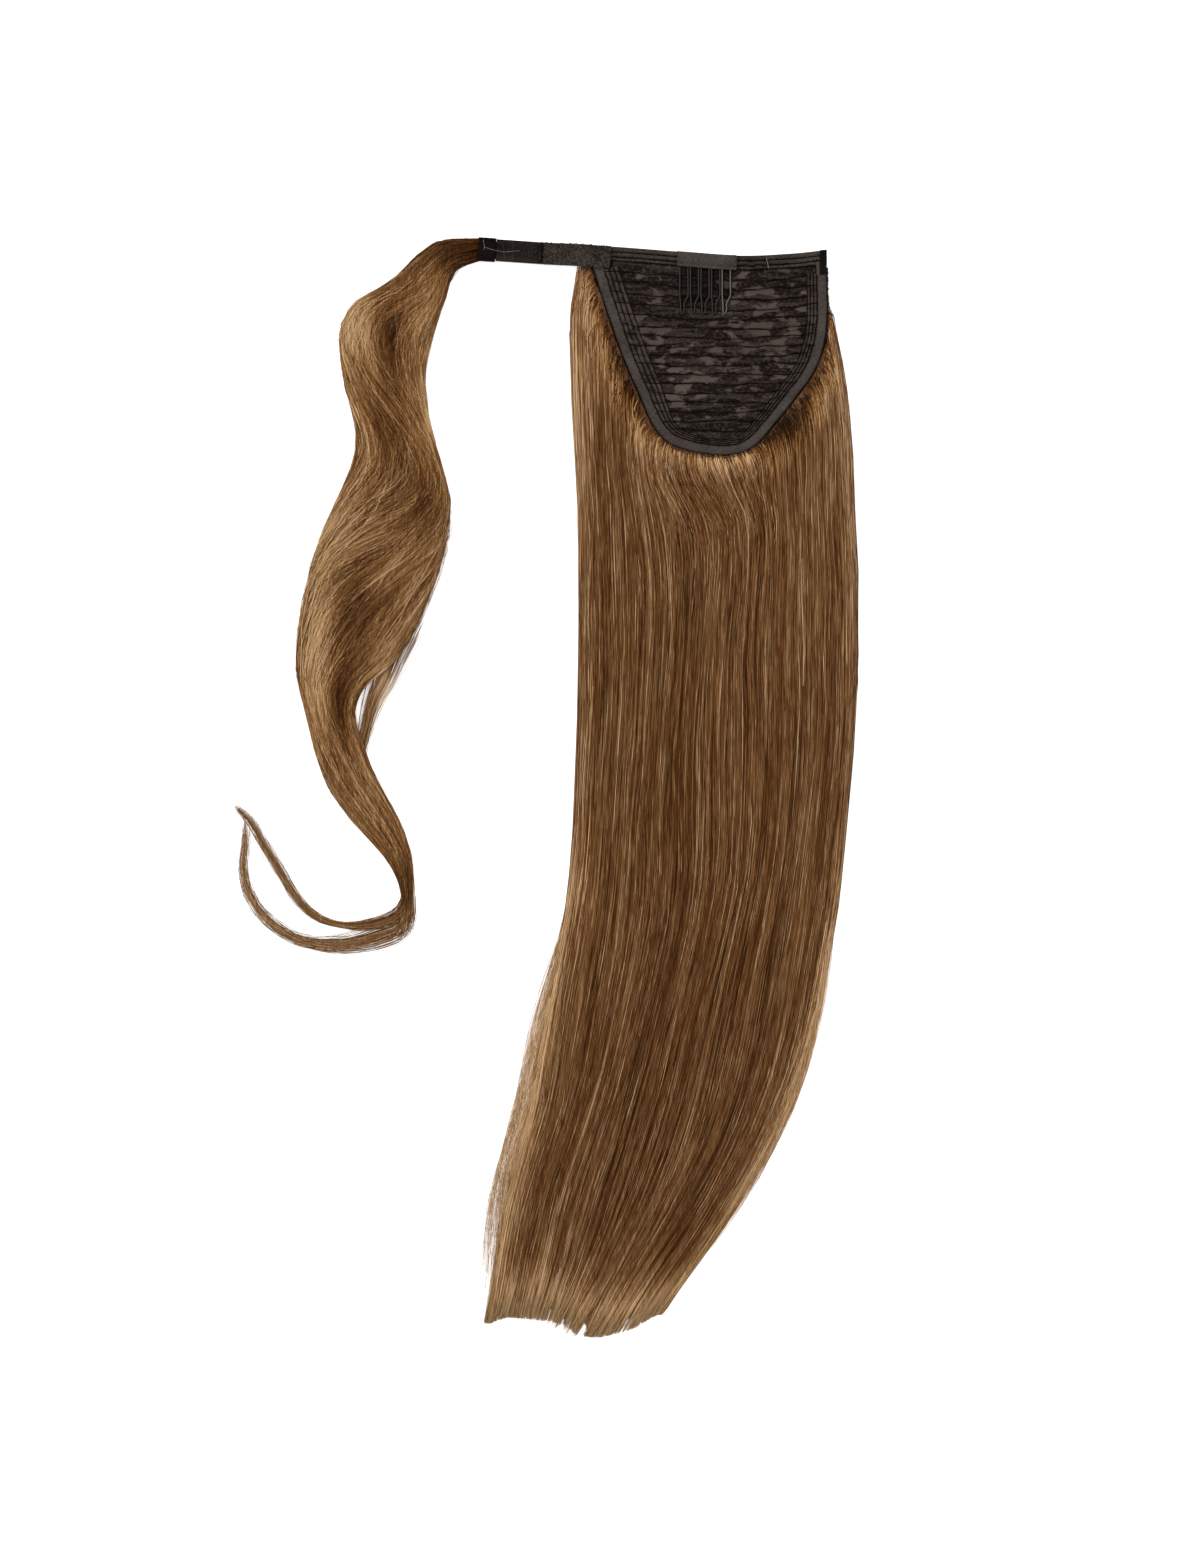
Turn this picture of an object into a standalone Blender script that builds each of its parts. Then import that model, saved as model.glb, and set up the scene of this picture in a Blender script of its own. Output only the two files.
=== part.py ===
"""Wrap-round ponytail hairpiece, lying flat with its inner side up.

A D-shaped net cap carries rows of weft, a bound rim, a stitched top band, a wire comb
under a tape and a strap with hook and loop tape. It lies on the long fall of straight
hair that is sewn to its outer face. A wavy lock of hair is bound to the strap's free end.

Metres, +Z up, +X to the right and +Y towards the cap's straight edge. The model is laid
out from the middle of the band's top edge, and at the end it is moved so that its origin
is the bottom centre of its own box.
"""

import math
from collections import namedtuple

import bmesh
import bpy
from mathutils import Vector

# Clearance between pieces that lie on each other
FIT_GAP = 0.0003

# Cap
CAP_WIDTH = 0.1230
CAP_DEPTH = 0.1060
NET_WALL = 0.0010
BINDING_WALL = 0.0010
BINDING_REACH = 0.0055
BAND_WIDTH = 0.0072
BAND_WALL = 0.0018
BAND_BACK_REACH = 0.0045
BAND_SAG = 0.0052
BAND_GROOVE = 0.0004
WEFT_PITCH = 0.0050
WEFT_THICKNESS = 0.0013
WEFT_SAG = 0.0030

# Hair bed that the cap lies on
BED_AT_BAND = 0.0030
BED_AT_RIM = 0.0080
CAP_DISH = 0.0014

# Comb and its tape
COMB_TAPE_LENGTH = 0.0307
COMB_TAPE_WIDTH = 0.0078
COMB_TAPE_WALL = 0.0010
COMB_TAPE_HEM = 0.0018
HEM_CREASE = 0.0003
COMB_TAPE_OFFSET = -0.0008
COMB_OFFSET = -0.0016
COMB_TEETH = 5
TOOTH_PITCH = 0.0055
TOOTH_GAP = 0.0042
TOOTH_TIP_GAP = 0.0015
TOOTH_LENGTH = 0.0275
TOOTH_LEAN = -0.0008
WIRE_DIAMETER = 0.0009

# Strap and what is sewn on it
STRAP_LENGTH = 0.0686
STRAP_WIDTH = 0.0112
STRAP_WALL = 0.0015
STRAP_TURN = math.radians(3.9)
STRAP_ROOT = 0.0115
RAMP_START = 0.0125
RAMP_LENGTH = 0.0235
LOOP_LENGTH = 0.0370
LOOP_THICKNESS = 0.0015
HOOK_THICKNESS = 0.0012
END_WRAP_LENGTH = 0.0088
END_WRAP_WALL = 0.0010
END_WRAP_RIDGE = 0.0003
END_WRAP_TURNS = 4
END_WRAP_SQUARENESS = 0.55
STRAP_TUCK = 0.0040

# Fall of hair
FALL_LENGTH = 0.5580
FALL_WIDTH = 0.1460
FALL_HEIGHT = 0.0125
FALL_START = 0.0060
FALL_EDGE = 0.0010
LOCK_RIDGE = 0.0013
RIM_BULGE = 0.0026
RIM_BULGE_OUT = 0.0070
RIM_BULGE_SPREAD = 0.0060
TIP_STEP = 0.0135
TIP_NOTCH = 0.0036
FALL_SWAY = 0.0022
FALL_WAVES = 3.0
POCKET_CEILING = 0.0500

# Wrap lock
LOCK_WIDTH = 0.1280
LOCK_LENGTH = 0.3656
LOCK_HEIGHT = 0.0090
STRAND_RIDGE = 0.0010
TAIL_WIDTH = 0.0062
TAIL_HEIGHT = 0.0026
SIDE_LOCK_WIDTH = 0.0085

# Powers that set how square an edge is, how late the tips part and how the rows crowd together
FALL_ROUNDNESS = 5
LOCK_ROUNDNESS = 4
TIP_ONSET = 8
ROW_CROWDING = 1.3

# How finely the forms are divided
PATH_STEPS = 400
RIM_STATIONS = 40
RIM_SPACING = 8
BED_RIM_STATIONS = 60
INNER_RIM_STATIONS = 200
TOP_EDGE_STEPS = 10
BAND_STATIONS = 15
WEFT_STATIONS = 7
STRAP_STATIONS = 14
LOOP_STATIONS = 10
ROOM_STATIONS = 8
FALL_ROWS = 30
COLUMNS_PER_LOCK = 4
WIRE_SIDES = 6
TAIL_SIDES = 6
WRAP_SIDES = 16
NET_CELL = 0.0150

# Colours: linear red, green, blue, then roughness
NET_COLOUR = (0.030, 0.022, 0.018, 0.85)
WEFT_COLOUR = (0.040, 0.031, 0.026, 0.80)
SATIN_COLOUR = (0.048, 0.038, 0.033, 0.50)
WEB_COLOUR = (0.034, 0.026, 0.022, 0.75)
LOOP_COLOUR = (0.045, 0.036, 0.031, 0.95)
HOOK_COLOUR = (0.027, 0.020, 0.017, 0.70)
THREAD_COLOUR = (0.010, 0.007, 0.006, 0.80)
WIRE_COLOUR = (0.030, 0.027, 0.026, 0.35)
HAIR_COLOUR = (0.150, 0.068, 0.026, 0.45)
LOCK_COLOUR = (0.190, 0.090, 0.036, 0.45)

# Top edge of the band: place as a share of half the cap's width, rise as a share of the sag
BandLine = namedtuple("BandLine", "across rise")
BAND_LINE = (
    BandLine(-1.05, 0.62),
    BandLine(-0.80, 0.50),
    BandLine(-0.24, 0.00),
    BandLine(0.27, -0.40),
    BandLine(0.69, -0.20),
    BandLine(1.02, 0.19),
)

# Cap's rim from its left corner round to its right one: shares of half the width and the depth
RimPoint = namedtuple("RimPoint", "across down")
RIM = (
    RimPoint(-1.02, -0.02),
    RimPoint(-0.96, 0.10),
    RimPoint(-0.86, 0.28),
    RimPoint(-0.73, 0.50),
    RimPoint(-0.60, 0.68),
    RimPoint(-0.46, 0.86),
    RimPoint(-0.33, 0.94),
    RimPoint(-0.10, 0.985),
    RimPoint(0.16, 1.00),
    RimPoint(0.33, 0.975),
    RimPoint(0.45, 0.92),
    RimPoint(0.69, 0.75),
    RimPoint(0.88, 0.60),
    RimPoint(0.97, 0.46),
    RimPoint(1.00, 0.33),
    RimPoint(1.00, 0.15),
    RimPoint(1.00, -0.02),
)

# Band's front from its top edge down: shares of its width and of its groove's depth
BandRib = namedtuple("BandRib", "inset sink")
BAND_RIBS = (
    BandRib(0.00, 0.6),
    BandRib(0.12, 0.0),
    BandRib(0.48, 0.0),
    BandRib(0.56, 1.0),
    BandRib(0.64, 0.0),
    BandRib(0.88, 0.0),
    BandRib(1.00, 0.6),
)

# A weft's section from its upper edge to its lower one: shares of its width and thickness
WeftEdge = namedtuple("WeftEdge", "across height")
WEFT_SECTION = (
    WeftEdge(0.0, 0.0),
    WeftEdge(0.0, 0.45),
    WeftEdge(0.45, 0.85),
    WeftEdge(0.80, 1.0),
    WeftEdge(1.0, 0.75),
    WeftEdge(1.0, 0.0),
)

# One comb tooth, root to tip: shares of its length, and of the way from its wide to its tip gap
ToothStep = namedtuple("ToothStep", "down closing")
TOOTH = (
    ToothStep(0.00, 0.0),
    ToothStep(0.40, 0.0),
    ToothStep(0.68, 0.0),
    ToothStep(0.76, 0.6),
    ToothStep(0.84, 1.0),
    ToothStep(0.96, 1.0),
)

# The fall at stations down its length: edges as shares of half its width, height as a share
FallStation = namedtuple("FallStation", "down left right height")
FALL = (
    FallStation(0.000, -0.90, 0.80, 0.30),
    FallStation(0.018, -0.95, 0.81, 0.42),
    FallStation(0.040, -0.98, 0.86, 0.62),
    FallStation(0.086, -0.98, 0.95, 0.80),
    FallStation(0.127, -0.97, 1.00, 0.92),
    FallStation(0.173, -0.95, 1.03, 1.00),
    FallStation(0.220, -0.93, 1.04, 0.98),
    FallStation(0.290, -0.92, 1.07, 0.90),
    FallStation(0.425, -0.93, 1.05, 0.80),
    FallStation(0.546, -0.97, 0.97, 0.72),
    FallStation(0.603, -1.02, 0.92, 0.68),
    FallStation(0.693, -1.16, 0.80, 0.60),
    FallStation(0.782, -1.27, 0.59, 0.50),
    FallStation(0.872, -1.45, 0.24, 0.38),
    FallStation(0.961, -1.56, -0.23, 0.22),
    FallStation(1.000, -1.62, -0.43, 0.13),
)

# The fall's locks from left to right: relative width, and how far short of the longest one stops
FallLock = namedtuple("FallLock", "width short")
FALL_LOCKS = (
    FallLock(0.8, 0.54),
    FallLock(1.1, 0.77),
    FallLock(0.9, 0.72),
    FallLock(1.3, 0.64),
    FallLock(1.0, 0.46),
    FallLock(0.8, 0.24),
    FallLock(1.2, 0.05),
    FallLock(1.0, 0.00),
    FallLock(1.2, 0.02),
    FallLock(0.9, 0.15),
    FallLock(1.1, 0.38),
    FallLock(0.7, 0.88),
)

# Wrap lock at stations down from the strap's end: outer and inner edge as shares of its
# width to the left and of its length, height as a share, and where its strands' ridges sit
LockStation = namedtuple("LockStation", "outer_x outer_y inner_x inner_y height turn")
WRAP_LOCK = (
    LockStation(0.050, -0.019, 0.050, 0.018, 0.50, 0.00),
    LockStation(0.142, -0.013, 0.089, 0.026, 0.62, 0.05),
    LockStation(0.211, -0.001, 0.118, 0.046, 0.72, 0.10),
    LockStation(0.276, 0.018, 0.138, 0.071, 0.80, 0.18),
    LockStation(0.340, 0.043, 0.163, 0.097, 0.86, 0.26),
    LockStation(0.430, 0.061, 0.187, 0.122, 0.90, 0.34),
    LockStation(0.516, 0.080, 0.207, 0.151, 0.92, 0.42),
    LockStation(0.561, 0.114, 0.224, 0.188, 0.94, 0.50),
    LockStation(0.560, 0.156, 0.215, 0.216, 0.98, 0.60),
    LockStation(0.537, 0.202, 0.199, 0.248, 1.00, 0.72),
    LockStation(0.500, 0.245, 0.176, 0.278, 1.00, 0.84),
    LockStation(0.490, 0.290, 0.143, 0.317, 0.98, 0.96),
    LockStation(0.550, 0.338, 0.118, 0.358, 0.94, 1.08),
    LockStation(0.606, 0.381, 0.122, 0.398, 0.92, 1.20),
    LockStation(0.660, 0.427, 0.145, 0.438, 0.90, 1.32),
    LockStation(0.700, 0.476, 0.185, 0.480, 0.88, 1.44),
    LockStation(0.724, 0.535, 0.250, 0.532, 0.86, 1.56),
    LockStation(0.738, 0.590, 0.345, 0.588, 0.82, 1.68),
    LockStation(0.722, 0.630, 0.480, 0.622, 0.76, 1.80),
    LockStation(0.690, 0.672, 0.512, 0.664, 0.72, 1.90),
    LockStation(0.660, 0.718, 0.468, 0.706, 0.68, 2.00),
    LockStation(0.610, 0.765, 0.425, 0.750, 0.64, 2.10),
    LockStation(0.528, 0.806, 0.352, 0.792, 0.60, 2.20),
    LockStation(0.440, 0.840, 0.297, 0.834, 0.54, 2.30),
    LockStation(0.360, 0.872, 0.268, 0.872, 0.46, 2.36),
    LockStation(0.318, 0.908, 0.264, 0.912, 0.38, 2.40),
    LockStation(0.308, 0.940, 0.268, 0.944, 0.28, 2.44),
)

# Thin locks that leave the wrap lock: centre line, and width as a share of the widest
ThinStation = namedtuple("ThinStation", "left down width")
UPPER_TAIL = (
    ThinStation(0.290, 0.922, 0.9),
    ThinStation(0.325, 0.944, 1.0),
    ThinStation(0.415, 0.958, 1.0),
    ThinStation(0.530, 0.961, 0.95),
    ThinStation(0.650, 0.950, 0.85),
    ThinStation(0.735, 0.924, 0.75),
    ThinStation(0.795, 0.890, 0.65),
    ThinStation(0.865, 0.850, 0.50),
    ThinStation(0.925, 0.814, 0.35),
    ThinStation(0.995, 0.790, 0.16),
)
LOWER_TAIL = (
    ThinStation(0.284, 0.926, 0.9),
    ThinStation(0.312, 0.962, 1.3),
    ThinStation(0.395, 0.982, 1.4),
    ThinStation(0.500, 0.991, 1.2),
    ThinStation(0.620, 0.991, 1.0),
    ThinStation(0.745, 0.979, 0.85),
    ThinStation(0.860, 0.952, 0.75),
    ThinStation(0.935, 0.915, 0.60),
    ThinStation(0.958, 0.876, 0.45),
    ThinStation(0.948, 0.838, 0.30),
    ThinStation(0.952, 0.806, 0.16),
)
SIDE_LOCK = (
    ThinStation(0.345, 0.575, 0.7),
    ThinStation(0.385, 0.610, 0.9),
    ThinStation(0.430, 0.645, 0.9),
    ThinStation(0.455, 0.675, 0.9),
    ThinStation(0.475, 0.705, 0.9),
    ThinStation(0.505, 0.735, 0.7),
)

# Strands across the wrap lock's section, and points across its top and its underside
LOCK_STRANDS = 3
LOCK_SECTIONS = 38
LOCK_TOP_POINTS = 13
LOCK_LOW_POINTS = 3


def clear_scene():
    """Remove every object that the file opened with."""
    for thing in list(bpy.data.objects):
        bpy.data.objects.remove(thing, do_unlink=True)


def make_material(name, look, metallic=0.0):
    """A plain material from a colour and a roughness."""
    red, green, blue, roughness = look
    material = bpy.data.materials.new(name)
    material.use_nodes = True
    shader = material.node_tree.nodes["Principled BSDF"]
    shader.inputs["Base Color"].default_value = (red, green, blue, 1.0)
    shader.inputs["Roughness"].default_value = roughness
    shader.inputs["Metallic"].default_value = metallic
    material.diffuse_color = (red, green, blue, 1.0)
    return material


def add_piece(name, body, material, parent):
    """Turn a closed bmesh into a named object with its faces pointing out."""
    bmesh.ops.recalc_face_normals(body, faces=body.faces)
    mesh = bpy.data.meshes.new(name)
    body.to_mesh(mesh)
    body.free()
    mesh.materials.append(material)
    piece = bpy.data.objects.new(name, mesh)
    bpy.context.scene.collection.objects.link(piece)
    piece.parent = parent
    return piece


def hide_tool(piece):
    """Mark a solid that only cuts or joins another one."""
    piece.hide_render = True
    piece.display_type = "WIRE"


def combine(piece, tool, operation):
    """Cut a piece with a tool solid, or fuse the tool to it."""
    hide_tool(tool)
    modifier = piece.modifiers.new(tool.name, "BOOLEAN")
    modifier.operation = operation
    modifier.solver = "EXACT"
    modifier.object = tool


def ease(share):
    """Smooth step from 0 to 1."""
    share = min(1.0, max(0.0, share))
    return share * share * (3.0 - 2.0 * share)


def mix(start, end, share):
    """Value or point at a share of the way from one to another."""
    return start + (end - start) * share


def slope_at(rows, index, column):
    """Slope of one column of a table at one of its rows."""
    before = rows[max(0, index - 1)]
    after = rows[min(len(rows) - 1, index + 1)]
    return (after[column] - before[column]) / (after[0] - before[0])


def read_table(rows, at):
    """Values of a table's other columns where its first column has a value, read smoothly."""
    high = sum(1 for row in rows if row[0] < at)
    high = min(len(rows) - 1, max(1, high))
    low = high - 1
    span = rows[high][0] - rows[low][0]
    share = min(1.0, max(0.0, (at - rows[low][0]) / span))
    square = share * share
    cube = square * share
    values = []
    for column in range(1, len(rows[0])):
        leave = slope_at(rows, low, column) * span
        arrive = slope_at(rows, high, column) * span
        value = (2.0 * cube - 3.0 * square + 1.0) * rows[low][column]
        value += (cube - 2.0 * square + share) * leave
        value += (3.0 * square - 2.0 * cube) * rows[high][column]
        value += (cube - square) * arrive
        values.append(value)
    return values


def chord_rows(points):
    """Rows of a path: distance along it, then x and y."""
    rows = []
    distance = 0.0
    for index, point in enumerate(points):
        if index:
            distance += math.hypot(point[0] - points[index - 1][0], point[1] - points[index - 1][1])
        rows.append((distance, point[0], point[1]))
    return rows


def smooth_path(points, count):
    """Evenly spaced points on a smooth curve through a few given ones."""
    rows = chord_rows(points)
    end = rows[-1][0]
    fine = [tuple(read_table(rows, end * step / PATH_STEPS)) for step in range(PATH_STEPS + 1)]
    rows = chord_rows(fine)
    return [tuple(read_table(rows, rows[-1][0] * step / (count - 1))) for step in range(count)]


def path_normals(path):
    """Unit normals to the right of a plan path, one at each point."""
    normals = []
    for index in range(len(path)):
        before = path[max(0, index - 1)]
        after = path[min(len(path) - 1, index + 1)]
        along_x = after[0] - before[0]
        along_y = after[1] - before[1]
        length = math.hypot(along_x, along_y)
        normals.append((along_y / length, -along_x / length))
    return normals


def loft(rings):
    """Closed body through rings of as many points each, with a face on each end."""
    body = bmesh.new()
    loops = [[body.verts.new(point) for point in ring] for ring in rings]
    for first, second in zip(loops, loops[1:]):
        for side in range(len(first)):
            body.faces.new((first[side - 1], first[side], second[side], second[side - 1]))
    body.faces.new(loops[0])
    body.faces.new(list(reversed(loops[-1])))
    return body


def sleeve(rings):
    """Closed body through rings that lead round to the first again, as a wall with a bore."""
    body = bmesh.new()
    loops = [[body.verts.new(point) for point in ring] for ring in rings]
    for index, second in enumerate(loops):
        first = loops[index - 1]
        for side in range(len(first)):
            body.faces.new((first[side - 1], first[side], second[side], second[side - 1]))
    return body


def slab(outline, low, high):
    """Closed sheet inside a plan outline, between two height functions of x and y."""
    body = bmesh.new()
    body.faces.new([body.verts.new((x, y, 0.0)) for x, y in outline])
    for axis in (0, 1):
        values = [point[axis] for point in outline]
        cuts = max(1, round((max(values) - min(values)) / NET_CELL))
        for cut in range(1, cuts):
            place = [0.0, 0.0, 0.0]
            normal = [0.0, 0.0, 0.0]
            place[axis] = mix(min(values), max(values), cut / cuts)
            normal[axis] = 1.0
            everything = body.verts[:] + body.edges[:] + body.faces[:]
            bmesh.ops.bisect_plane(body, geom=everything, plane_co=place, plane_no=normal)
    bmesh.ops.triangulate(body, faces=body.faces[:])
    grown = bmesh.ops.extrude_face_region(body, geom=body.faces[:])
    upper = {item for item in grown["geom"] if isinstance(item, bmesh.types.BMVert)}
    for corner in body.verts:
        height = high if corner in upper else low
        corner.co.z = height(corner.co.x, corner.co.y)
    return body


def top_line(x):
    """Height on the plan of the band's top edge."""
    return read_table(BAND_LINE, x / (CAP_WIDTH / 2.0))[0] * BAND_SAG


def cover_low(x):
    """Height on the plan of the lower edge of what is sewn over the cap's top edge."""
    under_strap = x < -CAP_WIDTH / 2.0 + STRAP_ROOT
    return top_line(x) - (max(STRAP_WIDTH, BAND_WIDTH) if under_strap else BAND_WIDTH)


def rim_path(outset=0.0, count=RIM_STATIONS):
    """Cap's rim from the left corner to the right one, moved out by a distance."""
    points = [(row.across * CAP_WIDTH / 2.0, -row.down * CAP_DEPTH) for row in RIM]
    path = smooth_path(points, count)
    normals = path_normals(path)
    return [(p[0] + n[0] * outset, p[1] + n[1] * outset) for p, n in zip(path, normals)]


def clears_cover(x, y):
    """Whether a place on the plan lies below what is sewn over the cap's top edge."""
    return y < cover_low(x) - 2.0 * FIT_GAP


def rim_below_band(count):
    """Stretch of the rim where the binding's whole width lies below the band and the strap."""
    fine = rim_path(0.0, PATH_STEPS)
    bare = []
    for point, normal in zip(fine, path_normals(fine)):
        inner = (point[0] - normal[0] * BINDING_REACH, point[1] - normal[1] * BINDING_REACH)
        if clears_cover(*point) and clears_cover(*inner):
            bare.append(point)
    return smooth_path(bare[::RIM_SPACING] + [bare[-1]], count)


def bed(x, y):
    """Height of the hair that the cap lies on: low under the band, high at the rim's foot."""
    down = (-y - BAND_WIDTH) / (CAP_DEPTH - BAND_WIDTH)
    down = min(1.0, max(0.0, down))
    across = min(1.0, abs(x) / (CAP_WIDTH / 2.0))
    dish = CAP_DISH * math.sin(math.pi * down) * (1.0 - across * across)
    return mix(BED_AT_BAND, BED_AT_RIM, ease(down)) - dish


# Heights above the bed of the faces that lie on each other in the cap
BINDING_LOW = FIT_GAP
NET_LOW = BINDING_LOW + BINDING_WALL + FIT_GAP
NET_HIGH = NET_LOW + NET_WALL
SEWN_LOW = NET_HIGH + FIT_GAP
BINDING_HIGH = SEWN_LOW + BINDING_WALL
BAND_HIGH = SEWN_LOW + BAND_WALL


def make_cap_base(material, parent):
    """Net cap, its rim inside the binding's fold and its top edge inside the band's."""
    inset = BINDING_WALL + FIT_GAP
    curve = rim_path(-inset)
    left = curve[0][0]
    right = curve[-1][0]
    sides = [p for p in curve if p[1] < top_line(p[0]) - inset]
    top = [mix(right, left, step / TOP_EDGE_STEPS) for step in range(TOP_EDGE_STEPS + 1)]
    outline = sides + [(x, top_line(x) - inset) for x in top]
    body = slab(outline, lambda x, y: bed(x, y) + NET_LOW, lambda x, y: bed(x, y) + NET_HIGH)
    return add_piece("cap_base", body, material, parent)


def make_edge_binding(material, parent):
    """Tape folded over the rim, with the net's edge inside the fold."""
    path = rim_below_band(RIM_STATIONS)
    section = (
        (0.0, BINDING_LOW),
        (0.0, BINDING_HIGH),
        (BINDING_REACH, BINDING_HIGH),
        (BINDING_REACH, SEWN_LOW),
        (BINDING_WALL, SEWN_LOW),
        (BINDING_WALL, BINDING_LOW + BINDING_WALL),
        (BINDING_REACH, BINDING_LOW + BINDING_WALL),
        (BINDING_REACH, BINDING_LOW),
    )
    rings = []
    for point, normal in zip(path, path_normals(path)):
        ring = []
        for inset, level in section:
            x = point[0] - normal[0] * inset
            y = point[1] - normal[1] * inset
            ring.append((x, y, bed(x, y) + level))
        rings.append(ring)
    return add_piece("edge_binding", loft(rings), material, parent)


def make_top_band(material, parent):
    """Stitched band folded over the straight edge, with two grooves along its front."""
    start = -CAP_WIDTH / 2.0 + STRAP_ROOT
    end = CAP_WIDTH / 2.0
    front = [(row.inset * BAND_WIDTH, BAND_HIGH - row.sink * BAND_GROOVE) for row in BAND_RIBS]
    fold = [
        (BAND_WIDTH, SEWN_LOW),
        (BINDING_WALL, SEWN_LOW),
        (BINDING_WALL, BINDING_LOW + BINDING_WALL),
        (BAND_BACK_REACH, BINDING_LOW + BINDING_WALL),
        (BAND_BACK_REACH, BINDING_LOW),
        (0.0, BINDING_LOW),
    ]
    rings = []
    for station in range(BAND_STATIONS):
        x = mix(start, end, station / (BAND_STATIONS - 1))
        edge = top_line(x)
        rings.append([(x, edge - inset, BED_AT_BAND + level) for inset, level in front + fold])
    return add_piece("top_band", loft(rings), material, parent)


def weft_line(row, x):
    """Plan height of the boundary above one row of weft, counted down from the band."""
    across = x / (CAP_WIDTH / 2.0)
    depth = row * WEFT_PITCH / CAP_DEPTH
    sag = WEFT_SAG * ease(3.0 * depth) * (1.0 - across * across) * (1.0 - depth)
    follow = top_line(x) * (1.0 - ease(2.0 * depth))
    return follow - BAND_WIDTH - FIT_GAP - row * WEFT_PITCH - sag


def weft_ends(row, inner):
    """Where a boundary between wefts meets the binding's inner edge, left and right."""
    crossings = []
    for first, second in zip(inner, inner[1:]):
        above = first[1] - weft_line(row, first[0])
        below = second[1] - weft_line(row, second[0])
        if (above > 0.0) != (below > 0.0):
            crossings.append(mix(first[0], second[0], above / (above - below)))
    if len(crossings) < 2:
        return None
    return crossings[0], crossings[-1]


def left_stop(row):
    """Least x of one row of weft: a row that starts beside the strap stops short of it."""
    root = -CAP_WIDTH / 2.0 + STRAP_ROOT
    beside = weft_line(row, root) > top_line(root) - STRAP_WIDTH - FIT_GAP
    return root + FIT_GAP if beside else -CAP_WIDTH


def make_wefts(material, parent):
    """Rows of weft from the band down to the foot of the rim, each trimmed by the binding."""
    inner = rim_path(-BINDING_REACH - FIT_GAP, INNER_RIM_STATIONS)
    wefts = []
    row = 0
    while True:
        upper = weft_ends(row, inner)
        lower = weft_ends(row + 1, inner)
        if upper is None or lower is None or lower[1] - lower[0] < 2.0 * WEFT_PITCH:
            return wefts
        rings = []
        for station in range(WEFT_STATIONS):
            share = station / (WEFT_STATIONS - 1)
            high_x = mix(max(upper[0], left_stop(row)), upper[1], share)
            low_x = mix(max(lower[0], left_stop(row)), lower[1], share)
            high_y = weft_line(row, high_x) - FIT_GAP / 2.0
            low_y = weft_line(row + 1, low_x) + FIT_GAP / 2.0
            ring = []
            for edge in WEFT_SECTION:
                x = mix(high_x, low_x, edge.across)
                y = mix(high_y, low_y, edge.across)
                ring.append((x, y, bed(x, y) + SEWN_LOW + edge.height * WEFT_THICKNESS))
            rings.append(ring)
        row += 1
        wefts.append(add_piece(f"weft_{row:02d}", loft(rings), material, parent))


def make_comb_tape(material, parent):
    """Tape over the comb's root: a flat top and a wall that stands on the band."""
    low = BED_AT_BAND + BAND_HIGH + FIT_GAP
    inner = low + WIRE_DIAMETER + FIT_GAP
    high = inner + COMB_TAPE_WALL
    hem = COMB_TAPE_WIDTH - COMB_TAPE_HEM
    section = (
        (0.0, low),
        (0.0, high),
        (hem - HEM_CREASE, high),
        (hem, high - HEM_CREASE),
        (hem + HEM_CREASE, high),
        (COMB_TAPE_WIDTH, high),
        (COMB_TAPE_WIDTH, inner),
        (COMB_TAPE_WALL, inner),
        (COMB_TAPE_WALL, low),
    )
    rings = []
    for side in (-0.5, 0.5):
        x = COMB_TAPE_OFFSET + side * COMB_TAPE_LENGTH
        edge = top_line(x)
        rings.append([(x, edge - inset, level) for inset, level in section])
    return add_piece("comb_tape", loft(rings), material, parent)


def tooth_path(centre, top, heights):
    """One hairpin of the comb, down its left wire, round its tip and up its right one."""
    points = []
    for side, steps in ((-1.0, TOOTH), (1.0, tuple(reversed(TOOTH)))):
        for step in steps:
            half = mix(TOOTH_GAP, TOOTH_TIP_GAP, step.closing) / 2.0
            x = centre + side * half + TOOTH_LEAN * step.closing
            points.append((x, top - step.down * TOOTH_LENGTH, mix(*heights, step.down)))
    tip = (centre + TOOTH_LEAN, top - TOOTH_LENGTH, heights[1])
    points.insert(len(TOOTH), tip)
    return points


def make_comb(material, parent):
    """Comb bent from one wire: hairpin teeth, joined by bends that the tape covers."""
    radius = WIRE_DIAMETER / 2.0
    low = BED_AT_BAND + BAND_HIGH + FIT_GAP + radius
    top = top_line(COMB_OFFSET) - COMB_TAPE_WIDTH / 2.0
    rise = bed(COMB_OFFSET, top - TOOTH_LENGTH) - bed(COMB_OFFSET, top)
    path = []
    for tooth in range(COMB_TEETH):
        centre = COMB_OFFSET + (tooth - (COMB_TEETH - 1) / 2.0) * TOOTH_PITCH
        if path:
            path.append((centre - TOOTH_PITCH / 2.0, top + (TOOTH_PITCH - TOOTH_GAP) / 2.0, low))
        path += tooth_path(centre, top, (low, low + rise))
    rings = []
    for index, point in enumerate(path):
        before = path[max(0, index - 1)]
        after = path[min(len(path) - 1, index + 1)]
        along = Vector((after[0] - before[0], after[1] - before[1], 0.0)).normalized()
        side = Vector((along.y, -along.x, 0.0))
        ring = []
        for corner in range(WIRE_SIDES):
            angle = 2.0 * math.pi * corner / WIRE_SIDES
            offset = side * (radius * math.cos(angle))
            offset.z = radius * math.sin(angle)
            ring.append(Vector(point) + offset)
        rings.append(ring)
    return add_piece("comb", loft(rings), material, parent)


# Strap's own directions on the plan: away from the cap, and across to its top edge
STRAP_AWAY = Vector((-math.cos(STRAP_TURN), math.sin(STRAP_TURN), 0.0))
STRAP_UP = Vector((math.sin(STRAP_TURN), math.cos(STRAP_TURN), 0.0))
STRAP_REST = END_WRAP_WALL + 2.0 * FIT_GAP
HOOK_START = LOOP_LENGTH + FIT_GAP


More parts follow.
